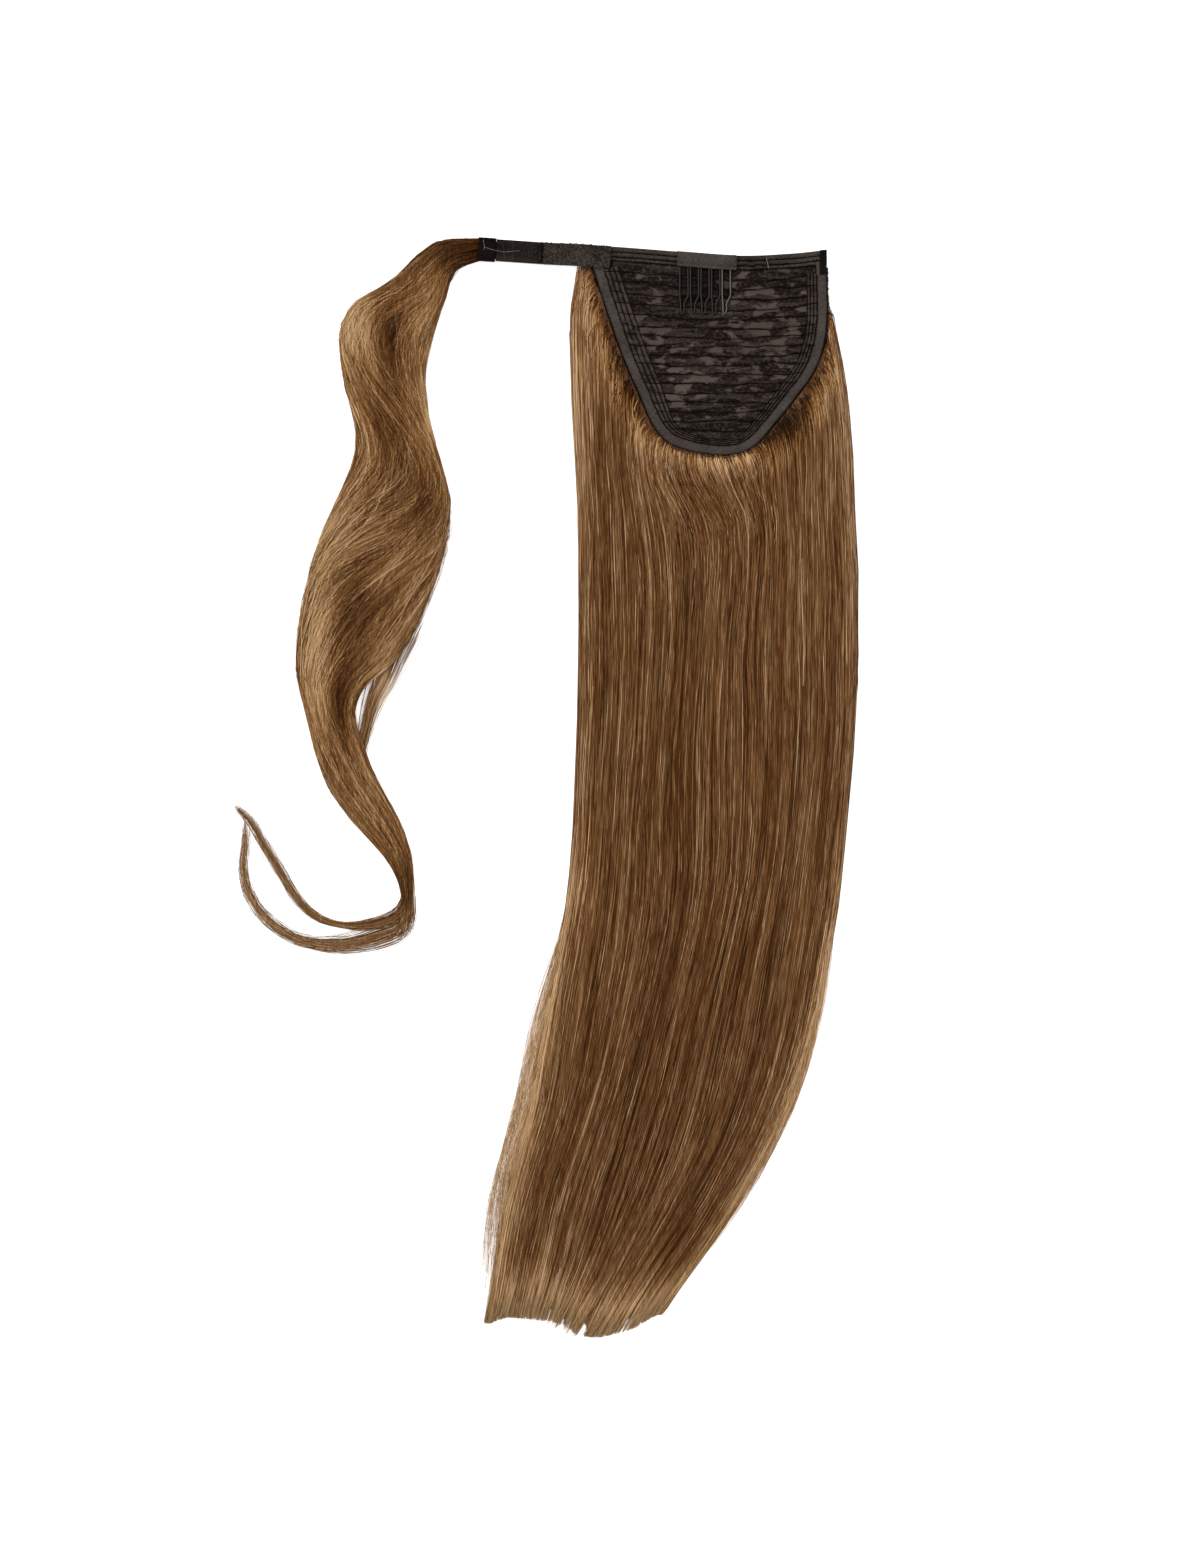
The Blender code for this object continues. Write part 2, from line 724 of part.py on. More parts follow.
def strap_corner():
    """Where the strap's top edge meets the band's left end."""
    x = -CAP_WIDTH / 2.0 + STRAP_ROOT - FIT_GAP
    return Vector((x, top_line(x), 0.0))


def strap_low(distance):
    """Height of the strap's underside at a distance from the band's end."""
    over_cap = BED_AT_BAND + SEWN_LOW
    return mix(over_cap, STRAP_REST, ease((distance - RAMP_START) / RAMP_LENGTH))


def strap_ring(distance, low, high, grow=0.0):
    """Four corners of a section of the strap, or of a tape on it, grown by a clearance."""
    edge = strap_corner() + STRAP_AWAY * distance
    far = -STRAP_WIDTH - grow
    corners = []
    for across, level in ((grow, low), (grow, high), (far, high), (far, low)):
        corner = edge + STRAP_UP * across
        corner.z = level
        corners.append(corner)
    return corners


def strap_stations(start, end, count):
    """Distances from the band's end, evenly spaced."""
    return [mix(start, end, step / (count - 1)) for step in range(count)]


def make_wrap_strap(material, parent):
    """Webbing that leaves the cap and ramps down to the level of the wrap lock."""
    shoulder = STRAP_LENGTH - END_WRAP_LENGTH - FIT_GAP
    rings = []
    for distance in strap_stations(0.0, shoulder, STRAP_STATIONS):
        low = strap_low(distance)
        rings.append(strap_ring(distance, low, low + STRAP_WALL))
    narrower = BORE_HALF_WIDTH - 2.0 * FIT_GAP - STRAP_WIDTH / 2.0
    for distance in (shoulder + FIT_GAP / 2.0, shoulder + FIT_GAP + STRAP_TUCK):
        rings.append(strap_ring(distance, STRAP_REST, STRAP_REST + STRAP_WALL, narrower))
    return add_piece("wrap_strap", loft(rings), material, parent)


def make_loop_tape(material, parent):
    """Loop tape sewn along the strap from the band's end."""
    rings = []
    for distance in strap_stations(0.0, LOOP_LENGTH, LOOP_STATIONS):
        low = strap_low(distance) + STRAP_WALL + FIT_GAP
        rings.append(strap_ring(distance, low, low + LOOP_THICKNESS))
    return add_piece("loop_tape", loft(rings), material, parent)


def make_hook_tape(material, parent):
    """Hook tape on the flat stretch of the strap, up to the bound end."""
    low = STRAP_REST + STRAP_WALL + FIT_GAP
    end = STRAP_LENGTH - END_WRAP_LENGTH - FIT_GAP
    rings = [strap_ring(distance, low, low + HOOK_THICKNESS) for distance in (HOOK_START, end)]
    return add_piece("hook_tape", loft(rings), material, parent)


def wrap_ring(distance, half_width, low, high):
    """Oval section across the strap's line."""
    centre = strap_corner() + STRAP_AWAY * distance - STRAP_UP * (STRAP_WIDTH / 2.0)
    ring = []
    for side in range(WRAP_SIDES):
        angle = 2.0 * math.pi * (side + 0.5) / WRAP_SIDES
        across = math.copysign(abs(math.cos(angle)) ** END_WRAP_SQUARENESS, math.cos(angle))
        up = math.copysign(abs(math.sin(angle)) ** END_WRAP_SQUARENESS, math.sin(angle))
        point = centre + STRAP_UP * (half_width * across)
        point.z = (low + high) / 2.0 + (high - low) / 2.0 * up
        ring.append(point)
    return ring


# Oval bore of the end wrap: the strap's end and the lock's root lie in it
BORE_HALF_WIDTH = STRAP_WIDTH / 2.0 + FIT_GAP - END_WRAP_WALL
BORE_LOW = END_WRAP_WALL
BORE_HIGH = STRAP_REST + STRAP_WALL + 2.0 * FIT_GAP
ROOT_START = STRAP_LENGTH - END_WRAP_LENGTH + STRAP_TUCK + FIT_GAP


def make_strap_end_wrap(material, parent):
    """Thread and tape bound round the strap's end and the root of the wrap lock."""
    start = STRAP_LENGTH - END_WRAP_LENGTH
    rings = [wrap_ring(start, BORE_HALF_WIDTH, BORE_LOW, BORE_HIGH)]
    outer_half = BORE_HALF_WIDTH + END_WRAP_WALL
    outer_low = BORE_LOW - END_WRAP_WALL
    outer_high = BORE_HIGH + END_WRAP_WALL
    for step in range(2 * END_WRAP_TURNS + 1):
        distance = mix(start, STRAP_LENGTH, step / (2 * END_WRAP_TURNS))
        ridge = END_WRAP_RIDGE if step % 2 else 0.0
        rings.append(wrap_ring(distance, outer_half + ridge, outer_low, outer_high + ridge))
    rings.append(wrap_ring(STRAP_LENGTH, BORE_HALF_WIDTH, BORE_LOW, BORE_HIGH))
    return add_piece("strap_end_wrap", sleeve(rings), material, parent)


def lock_place(left, down):
    """Plan place of a point given as shares of the wrap lock's width and length."""
    origin = strap_corner() + STRAP_AWAY * STRAP_LENGTH - STRAP_UP * (STRAP_WIDTH / 2.0)
    return Vector((origin.x - left * LOCK_WIDTH, origin.y - down * LOCK_LENGTH, 0.0))


def lock_ring(station):
    """Section of the wrap lock: ridged with strands on top and flat where it lies."""
    outer = lock_place(station.outer_x, station.outer_y)
    inner = lock_place(station.inner_x, station.inner_y)
    height = station.height * LOCK_HEIGHT
    ring = []
    for step in range(LOCK_TOP_POINTS):
        share = step / (LOCK_TOP_POINTS - 1)
        across = 2.0 * share - 1.0
        crown = math.sqrt(max(0.0, 1.0 - across ** LOCK_ROUNDNESS))
        strand = math.cos(2.0 * math.pi * (LOCK_STRANDS * share + station.turn))
        point = mix(outer, inner, share)
        point.z = mix(FALL_EDGE, height, crown) + STRAND_RIDGE * station.height * strand * crown
        ring.append(point)
    for step in range(LOCK_LOW_POINTS):
        ring.append(mix(inner, outer, step / (LOCK_LOW_POINTS - 1)))
    return ring


def root_ring(distance):
    """Section of the wrap lock's root inside the bound end."""
    half = BORE_HALF_WIDTH - 2.0 * FIT_GAP
    low = BORE_LOW + 2.0 * FIT_GAP
    high = BORE_HIGH - 2.0 * FIT_GAP
    centre = strap_corner() + STRAP_AWAY * distance - STRAP_UP * (STRAP_WIDTH / 2.0)
    ring = []
    for step in range(LOCK_TOP_POINTS):
        angle = math.pi * step / (LOCK_TOP_POINTS - 1)
        point = centre + STRAP_UP * (half * math.cos(angle))
        point.z = (low + high) / 2.0 + (high - low) / 2.0 * math.sin(angle)
        ring.append(point)
    for step in range(LOCK_LOW_POINTS):
        angle = math.pi * (1.0 + (step + 1) / (LOCK_LOW_POINTS + 1))
        point = centre + STRAP_UP * (half * math.cos(angle))
        point.z = (low + high) / 2.0 + (high - low) / 2.0 * math.sin(angle)
        ring.append(point)
    return ring


def thin_lock(stations, widest):
    """Tapered thin lock of hair, low and wide, along a smooth line."""
    rows = [(place.x, place.y) for place in (lock_place(s.left, s.down) for s in stations)]
    widths = [(index / (len(stations) - 1), s.width) for index, s in enumerate(stations)]
    count = 2 * len(stations) - 1
    path = smooth_path(rows, count)
    rings = []
    for index, (point, normal) in enumerate(zip(path, path_normals(path))):
        width = read_table(widths, index / (count - 1))[0] * widest
        height = TAIL_HEIGHT * width / widest
        ring = []
        for corner in range(TAIL_SIDES):
            angle = 2.0 * math.pi * corner / TAIL_SIDES
            across = width / 2.0 * math.cos(angle)
            level = height / 2.0 * (1.0 + math.sin(angle))
            ring.append((point[0] + normal[0] * across, point[1] + normal[1] * across, level))
        rings.append(ring)
    return loft(rings)


def make_wrap_lock(material, parent):
    """Wavy lock bound into the strap's end, fused with its side lock and two tails."""
    rings = [root_ring(ROOT_START), root_ring(STRAP_LENGTH + FIT_GAP)]
    rows = [(index, *station) for index, station in enumerate(WRAP_LOCK)]
    for section in range(LOCK_SECTIONS):
        at = (len(WRAP_LOCK) - 1) * section / (LOCK_SECTIONS - 1)
        rings.append(lock_ring(LockStation(*read_table(rows, at))))
    lock = add_piece("wrap_lock", loft(rings), material, parent)
    thin = (
        ("upper_tail", UPPER_TAIL, TAIL_WIDTH),
        ("lower_tail", LOWER_TAIL, TAIL_WIDTH),
        ("side_lock", SIDE_LOCK, SIDE_LOCK_WIDTH),
    )
    for name, stations, widest in thin:
        combine(lock, add_piece(name, thin_lock(stations, widest), material, parent), "UNION")
    return lock


def fall_columns():
    """Columns across the fall: place as a share, ridge from -1 to 1, and how short its tip is."""
    total = sum(lock.width for lock in FALL_LOCKS)
    columns = []
    start = 0.0
    for index, lock in enumerate(FALL_LOCKS):
        for step in range(COLUMNS_PER_LOCK):
            share = step / COLUMNS_PER_LOCK
            ridge = 1.0 - 2.0 * abs(math.cos(math.pi * share))
            if step == 0:
                neighbour = FALL_LOCKS[max(0, index - 1)]
                short = (lock.short + neighbour.short) / 2.0
            else:
                short = lock.short
            columns.append((start + share * lock.width / total, ridge, short))
        start += lock.width / total
    columns.append((1.0, -1.0, FALL_LOCKS[-1].short))
    return columns


def beyond_rim(x, y, rim, normals):
    """How far a place on the plan lies outside the rim, or below zero inside it."""
    distances = [math.hypot(x - p[0], y - p[1]) for p in rim]
    nearest = min(range(len(rim)), key=distances.__getitem__)
    point = rim[nearest]
    normal = normals[nearest]
    outside = (x - point[0]) * normal[0] + (y - point[1]) * normal[1] > 0.0
    return distances[nearest] if outside else -distances[nearest]


def fall_point(column, down, rim, normals):
    """Point on top of the fall, in one of its columns and at a share of its length."""
    share, ridge, short = column
    near_tip = down ** TIP_ONSET
    notch = TIP_NOTCH * (1.0 - ridge) / 2.0 * near_tip
    y = -FALL_START - down * FALL_LENGTH + short * TIP_STEP * near_tip + notch
    left, right, height = read_table(FALL, (-y - FALL_START) / FALL_LENGTH)
    wave = math.sin(2.0 * math.pi * (FALL_WAVES * down + share)) * math.sin(math.pi * share)
    x = mix(left, right, share) * FALL_WIDTH / 2.0 + FALL_SWAY * wave
    distance = beyond_rim(x, y, rim, normals)
    bulge = math.exp(-(((distance - RIM_BULGE_OUT) / RIM_BULGE_SPREAD) ** 2)) * RIM_BULGE
    crown = math.sqrt(max(0.0, 1.0 - abs(2.0 * share - 1.0) ** FALL_ROUNDNESS))
    z = FALL_EDGE + crown * (height * FALL_HEIGHT - FALL_EDGE + bulge)
    z += crown * LOCK_RIDGE * ridge * min(1.0, 2.0 * height) / 2.0
    if distance < RIM_BULGE_OUT / 2.0:
        z = max(z, bed(x, y) + NET_LOW)
    return Vector((x, y, max(z, FALL_EDGE)))


def fall_body():
    """The fall before it is cut: ridged locks on top, one flat face below."""
    rim = rim_path(0.0, BED_RIM_STATIONS)
    normals = path_normals(rim)
    columns = fall_columns()
    body = bmesh.new()
    grid = []
    for row in range(FALL_ROWS):
        down = (row / (FALL_ROWS - 1)) ** ROW_CROWDING
        grid.append([body.verts.new(fall_point(column, down, rim, normals)) for column in columns])
    for upper, lower in zip(grid, grid[1:]):
        for side in range(1, len(upper)):
            body.faces.new((upper[side - 1], upper[side], lower[side], lower[side - 1]))
    border = grid[0] + [row[-1] for row in grid[1:]]
    border += list(reversed(grid[-1]))[1:]
    border += [row[0] for row in reversed(grid)][1:-1]
    foot = [body.verts.new((v.co.x, v.co.y, 0.0)) for v in border]
    for index in range(len(border)):
        body.faces.new((border[index - 1], border[index], foot[index], foot[index - 1]))
    body.faces.new(foot)
    return body


def cap_pocket(material, parent):
    """Space that the cap takes in the hair, down to the bed."""
    curve = rim_path(FIT_GAP)
    outline = curve + [(curve[-1][0], BAND_WIDTH), (curve[0][0], BAND_WIDTH)]
    pocket = slab(outline, bed, lambda x, y: POCKET_CEILING)
    return add_piece("cap_pocket", pocket, material, parent)


def strap_room(material, parent):
    """Space that the strap takes over the hair beside the cap."""
    rings = []
    for distance in strap_stations(0.0, RAMP_START + RAMP_LENGTH, ROOM_STATIONS):
        low = strap_low(distance) - FIT_GAP
        rings.append(strap_ring(distance, low, POCKET_CEILING, FIT_GAP))
    return add_piece("strap_room", loft(rings), material, parent)


def make_hair_fall(material, parent):
    """Straight fall of hair in locks, with the cap let into its upper end."""
    fall = add_piece("hair_fall", fall_body(), material, parent)
    combine(fall, cap_pocket(material, parent), "DIFFERENCE")
    combine(fall, strap_room(material, parent), "DIFFERENCE")
    return fall


def settle(parent, pieces):
    """Move everything so that the bottom centre of its box is the origin."""
    bpy.context.view_layer.update()
    graph = bpy.context.evaluated_depsgraph_get()
    corners = []
    for piece in pieces:
        shown = piece.evaluated_get(graph)
        corners += [shown.matrix_world @ vertex.co for vertex in shown.data.vertices]
    low = [min(corner[axis] for corner in corners) for axis in range(3)]
    high = [max(corner[axis] for corner in corners) for axis in range(3)]
    parent.location = (-(low[0] + high[0]) / 2.0, -(low[1] + high[1]) / 2.0, -low[2])


def main():
    """Build the hairpiece."""
    clear_scene()
    parent = bpy.data.objects.new("hairpiece", None)
    bpy.context.scene.collection.objects.link(parent)
    net = make_material("net", NET_COLOUR)
    weft = make_material("weft", WEFT_COLOUR)
    satin = make_material("satin", SATIN_COLOUR)
    web = make_material("webbing", WEB_COLOUR)
    loops = make_material("loops", LOOP_COLOUR)
    hooks = make_material("hooks", HOOK_COLOUR)
    thread = make_material("thread", THREAD_COLOUR)
    wire = make_material("wire", WIRE_COLOUR, 0.8)
    hair = make_material("hair", HAIR_COLOUR)
    lock_hair = make_material("lock_hair", LOCK_COLOUR)
    pieces = [
        make_cap_base(net, parent),
        make_edge_binding(satin, parent),
        make_top_band(web, parent),
        make_comb_tape(satin, parent),
        make_comb(wire, parent),
        make_wrap_strap(web, parent),
        make_loop_tape(loops, parent),
        make_hook_tape(hooks, parent),
        make_strap_end_wrap(thread, parent),
        make_wrap_lock(lock_hair, parent),
        make_hair_fall(hair, parent),
    ]
    pieces += make_wefts(weft, parent)
    settle(parent, pieces)


main()
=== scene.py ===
"""Looks of a wrap-round ponytail hairpiece that lies flat with its inner side up.

Lengths are metres. Places are worked out from the middle of the band's top edge, with +X to
the right and +Y away from the hair, and every mesh is then moved by LAYOUT into the frame.
"""

import logging
import math
from collections.abc import Callable, Sequence
from dataclasses import dataclass
from enum import Enum

import bpy
import numpy as np
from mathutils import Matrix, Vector
from mathutils.bvhtree import BVHTree


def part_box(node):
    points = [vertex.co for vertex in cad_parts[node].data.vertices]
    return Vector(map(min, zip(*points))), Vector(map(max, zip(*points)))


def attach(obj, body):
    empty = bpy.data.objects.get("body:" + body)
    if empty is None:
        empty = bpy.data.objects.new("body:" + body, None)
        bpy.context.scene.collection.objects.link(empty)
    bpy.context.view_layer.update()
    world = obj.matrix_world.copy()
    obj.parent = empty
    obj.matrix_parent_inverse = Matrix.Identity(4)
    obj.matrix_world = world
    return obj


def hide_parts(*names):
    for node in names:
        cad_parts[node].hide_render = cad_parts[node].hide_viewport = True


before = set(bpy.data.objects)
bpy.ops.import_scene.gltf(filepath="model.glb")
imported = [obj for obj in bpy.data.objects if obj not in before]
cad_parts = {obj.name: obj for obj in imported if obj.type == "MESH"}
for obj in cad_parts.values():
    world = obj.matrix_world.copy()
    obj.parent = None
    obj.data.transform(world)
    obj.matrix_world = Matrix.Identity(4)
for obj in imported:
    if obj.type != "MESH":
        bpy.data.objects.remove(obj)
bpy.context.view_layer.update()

BODY = "root"
MM = 0.001
LOG = logging.getLogger("hairpiece")

Array = np.ndarray
Place = Callable[[Array, Array], Array]
Piece = bpy.types.Object
Random = np.random.Generator
Triple = tuple[float, float, float]

# How the photo maps to the layout: metres to a pixel, and the pixel at the layout's origin
PIXEL = 0.52 * MM
PHOTO_SIZE = (1200, 1552)
PHOTO_ORIGIN = (708.0, 253.0)

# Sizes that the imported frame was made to
CAP_WIDTH = 0.1230
CAP_DEPTH = 0.1060
BAND_WIDTH = 0.0072
BAND_SAG = 0.0052
BINDING_REACH = 0.0055
BED_AT_BAND = 0.0030
BED_AT_RIM = 0.0080
CAP_DISH = 0.0014
SEWN_LOW = 0.0029
BAND_HIGH = 0.0047
WEFT_PITCH = 0.0050
WEFT_SAG = 0.0030
FIT_GAP = 0.0003
STRAP_LENGTH = 0.0686
STRAP_WIDTH = 0.0112
STRAP_TURN = math.radians(3.9)
STRAP_ROOT = 0.0115
HOOK_START = 0.0373
END_WRAP_LENGTH = 0.0088
FALL_LENGTH = 0.5580
FALL_WIDTH = 0.1460
FALL_START = 0.0060
FALL_SWAY = 0.0022
FALL_WAVES = 3.0
TIP_STEP = 0.0135
LOCK_WIDTH = 0.1280
LOCK_LENGTH = 0.3656
LOCK_HEIGHT = 0.0090

# Lowest level of a mesh, of a sunk core, of a streak's middle line and of a strand's
MESH_FLOOR = 0.05 * MM
CORE_FLOOR = 0.10 * MM
STREAK_FLOOR = 0.30 * MM
STRAND_FLOOR = 0.35 * MM

# Edges sharper than these stay sharp, on swept tapes and on all else
TAPE_ANGLE = math.radians(50.0)
SOFT_ANGLE = math.radians(60.0)

# Points nearer than these become one, on sheets and on fine threads
WELD = 1e-6
FINE_WELD = 1e-7


def layout_origin() -> Array:
    """Where the layout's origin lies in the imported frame.

    Returns:
        Its x, y and z.
    """
    band_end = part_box("top_band")[1].x
    hair_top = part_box("hair_fall")[1].y
    return np.array((band_end - CAP_WIDTH / 2.0, hair_top + FALL_START, 0.0))


LAYOUT = layout_origin()


def hermite(keys: Array, values: Array, at: Array) -> Array:
    """Read values smoothly between their keys.

    Args:
        keys: Rising positions of the values.
        values: One number, or one row of numbers, for each key.
        at: Positions to read.

    Returns:
        The values there, held at both ends.
    """
    at = np.asarray(at, float)
    order = np.arange(len(keys))
    before = np.maximum(order - 1, 0)
    after = np.minimum(order + 1, len(keys) - 1)
    wide = (slice(None),) + (None,) * (values.ndim - 1)
    slopes = (values[after] - values[before]) / (keys[after] - keys[before])[wide]
    high = np.clip(np.searchsorted(keys, at), 1, len(keys) - 1)
    low = high - 1
    span = keys[high] - keys[low]
    share = np.clip((at - keys[low]) / span, 0.0, 1.0)
    if values.ndim > 1:
        span = span[..., None]
        share = share[..., None]
    square = share * share
    cube = square * share
    result = (2.0 * cube - 3.0 * square + 1.0) * values[low]
    result += (cube - 2.0 * square + share) * slopes[low] * span
    result += (3.0 * square - 2.0 * cube) * values[high]
    return result + (cube - square) * slopes[high] * span


@dataclass(frozen=True)
class Table:
    """Rows of numbers under named columns, read as smooth curves along the first one."""

    columns: tuple[str, ...]
    rows: tuple[tuple[float, ...], ...]

    def column(self, name: str) -> Array:
        """All values of one column."""
        return np.array([row[self.columns.index(name)] for row in self.rows])

    def read(self, name: str, at: Array) -> Array:
        """Values of one column where the first one has the values asked for."""
        return hermite(self.column(self.columns[0]), self.column(name), at)


# Top edge of the band: share of half the cap's width, and rise as a share of the sag
BAND_LINE = Table(("across", "rise"), (
    (-1.05, 0.62), (-0.80, 0.50), (-0.24, 0.00), (0.27, -0.40), (0.69, -0.20), (1.02, 0.19),
))

# Cap's rim from its left corner round to its right one: shares of half the width and the depth
RIM = Table(("across", "down"), (
    (-1.02, -0.02), (-0.96, 0.10), (-0.86, 0.28), (-0.73, 0.50), (-0.60, 0.68), (-0.46, 0.86),
    (-0.33, 0.94), (-0.10, 0.985), (0.16, 1.00), (0.33, 0.975), (0.45, 0.92), (0.69, 0.75),
    (0.88, 0.60), (0.97, 0.46), (1.00, 0.33), (1.00, 0.15), (1.00, -0.02),
))

# Edges of the fall down its length, as shares of half its width
FALL = Table(("down", "left", "right"), (
    (0.000, -0.90, 0.80), (0.018, -0.95, 0.81), (0.040, -0.98, 0.86), (0.086, -0.98, 0.95),
    (0.127, -0.97, 1.00), (0.173, -0.95, 1.03), (0.220, -0.93, 1.04), (0.290, -0.92, 1.07),
    (0.425, -0.93, 1.05), (0.546, -0.97, 0.97), (0.603, -1.02, 0.92), (0.693, -1.16, 0.80),
    (0.782, -1.27, 0.59), (0.872, -1.45, 0.24), (0.961, -1.56, -0.23), (1.000, -1.62, -0.43),
))

# The fall's locks from left to right: relative width, and how far short of the longest one stops
FALL_LOCKS = Table(("width", "short"), (
    (0.8, 0.54), (1.1, 0.77), (0.9, 0.72), (1.3, 0.64), (1.0, 0.46), (0.8, 0.24),
    (1.2, 0.05), (1.0, 0.00), (1.2, 0.02), (0.9, 0.15), (1.1, 0.38), (0.7, 0.88),
))

# How far the hair stands out from the rim before it turns down, how dark its roots are, as painted
# shade where the hair goes under the rim with darker roots, and for how long, how pale the painted
# highlight on its ridge is, and how warm it is, along the rim. Lengths in millimetres
ROOTS = Table(("along", "reach", "dark", "length", "ridge_highlight", "warm"), (
    (0.00, 9.0, 0.20, 4.0, 0.10, 0.4), (0.05, 12.0, 0.22, 5.0, 0.14, 0.4),
    (0.10, 14.0, 0.36, 9.0, 0.20, 0.6), (0.15, 13.5, 0.60, 14.0, 0.26, 0.8),
    (0.22, 12.5, 0.72, 16.0, 0.30, 0.9), (0.32, 10.0, 0.74, 15.0, 0.24, 0.9),
    (0.37, 8.0, 0.50, 9.0, 0.18, 0.9), (0.41, 8.0, 0.04, 2.0, 0.22, 0.8),
    (0.55, 8.0, 0.04, 2.0, 0.22, 0.8), (0.60, 7.6, 0.66, 12.0, 0.08, 1.0),
    (0.66, 9.0, 0.84, 18.0, 0.12, 1.0), (0.72, 11.0, 0.68, 15.0, 0.20, 0.9),
    (0.80, 12.5, 0.40, 9.0, 0.24, 0.7), (0.86, 9.5, 0.32, 6.0, 0.16, 0.6),
    (0.91, 5.0, 0.26, 4.0, 0.10, 0.5), (1.00, 2.0, 0.24, 4.0, 0.06, 0.5),
))

# How far the hair below the cap sweeps to the right: share of the fall's width, and the sweep
SWEEP = Table(("share", "shift"), (
    (0.00, 0.000), (0.15, 0.012), (0.24, 0.030), (0.31, 0.072), (0.42, 0.086), (0.53, 0.070),
    (0.62, 0.045), (0.71, 0.020), (0.82, 0.004), (1.00, 0.000),
))

# Wrap lock: outer and inner edge as shares of its width to the left and of its length,
# height as a share, and how far its strands have turned round it, in whole turns
WRAP_LOCK = Table(("station", "outer_x", "outer_y", "inner_x", "inner_y", "height", "turn"), (
    (0, -0.020, -0.015, -0.020, 0.014, 0.36, 0.00),
    (1, 0.142, -0.013, 0.089, 0.026, 0.62, 0.02),
    (2, 0.211, -0.001, 0.118, 0.046, 0.72, 0.03),
    (3, 0.276, 0.018, 0.138, 0.071, 0.80, 0.02),
    (4, 0.340, 0.043, 0.163, 0.097, 0.86, 0.00),
    (5, 0.430, 0.061, 0.187, 0.122, 0.90, -0.02),
    (6, 0.516, 0.080, 0.207, 0.151, 0.92, -0.02),
    (7, 0.561, 0.114, 0.224, 0.188, 0.94, 0.00),
    (8, 0.560, 0.156, 0.215, 0.216, 0.98, 0.06),
    (9, 0.537, 0.202, 0.199, 0.248, 1.00, 0.12),
    (10, 0.500, 0.245, 0.176, 0.278, 1.00, 0.17),
    (11, 0.490, 0.290, 0.143, 0.317, 0.98, 0.19),
    (12, 0.550, 0.338, 0.118, 0.358, 0.94, 0.16),
    (13, 0.606, 0.381, 0.122, 0.398, 0.92, 0.08),
    (14, 0.660, 0.427, 0.145, 0.438, 0.90, -0.02),
    (15, 0.700, 0.476, 0.185, 0.480, 0.88, -0.10),
    (16, 0.724, 0.535, 0.250, 0.532, 0.86, -0.16),
    (17, 0.738, 0.590, 0.345, 0.588, 0.82, -0.19),
    (18, 0.722, 0.630, 0.480, 0.622, 0.76, -0.19),
    (19, 0.690, 0.672, 0.512, 0.664, 0.72, -0.17),
    (20, 0.660, 0.718, 0.468, 0.706, 0.68, -0.15),
    (21, 0.610, 0.765, 0.425, 0.750, 0.64, -0.13),
    (22, 0.528, 0.806, 0.352, 0.792, 0.60, -0.12),
    (23, 0.440, 0.840, 0.297, 0.834, 0.54, -0.12),
    (24, 0.360, 0.872, 0.268, 0.872, 0.46, -0.12),
    (25, 0.318, 0.908, 0.264, 0.912, 0.38, -0.12),
    (26, 0.308, 0.940, 0.268, 0.944, 0.28, -0.12),
))

# Centre lines of the thin locks: shares of the wrap lock's width and length, and their spread
UPPER_TAIL = Table(("left", "down", "spread"), (
    (0.290, 0.880, 1.0), (0.292, 0.922, 1.2), (0.325, 0.944, 1.4), (0.415, 0.958, 1.2),
    (0.530, 0.961, 0.7), (0.650, 0.950, 0.75), (0.735, 0.924, 0.85), (0.795, 0.890, 0.95),
    (0.865, 0.850, 1.0), (0.925, 0.814, 0.9), (0.995, 0.790, 0.6),
))
LOWER_TAIL = Table(("left", "down", "spread"), (
    (0.284, 0.885, 0.9), (0.284, 0.926, 1.3), (0.312, 0.962, 2.4), (0.395, 0.976, 2.6),
    (0.500, 0.986, 2.0), (0.620, 0.988, 1.5), (0.745, 0.979, 1.1), (0.860, 0.952, 1.1),
    (0.935, 0.915, 1.0), (0.958, 0.876, 0.9), (0.948, 0.838, 0.8), (0.952, 0.806, 0.5),
))
SIDE_LOCK = Table(("left", "down", "spread"), (
    (0.260, 0.520, 2.0), (0.345, 0.575, 2.4), (0.385, 0.610, 2.4), (0.430, 0.645, 1.9),
    (0.455, 0.675, 1.4), (0.475, 0.705, 1.0), (0.490, 0.735, 0.8), (0.470, 0.770, 0.8),
))

# One comb tooth, root to tip: shares of its length and of the way from its wide to its tip gap
TOOTH = Table(("down", "closing"), (
    (0.00, 0.0), (0.40, 0.0), (0.66, 0.0), (0.74, 0.55), (0.80, 0.95), (0.86, 1.0), (0.93, 0.85),
    (0.97, 1.1),
))
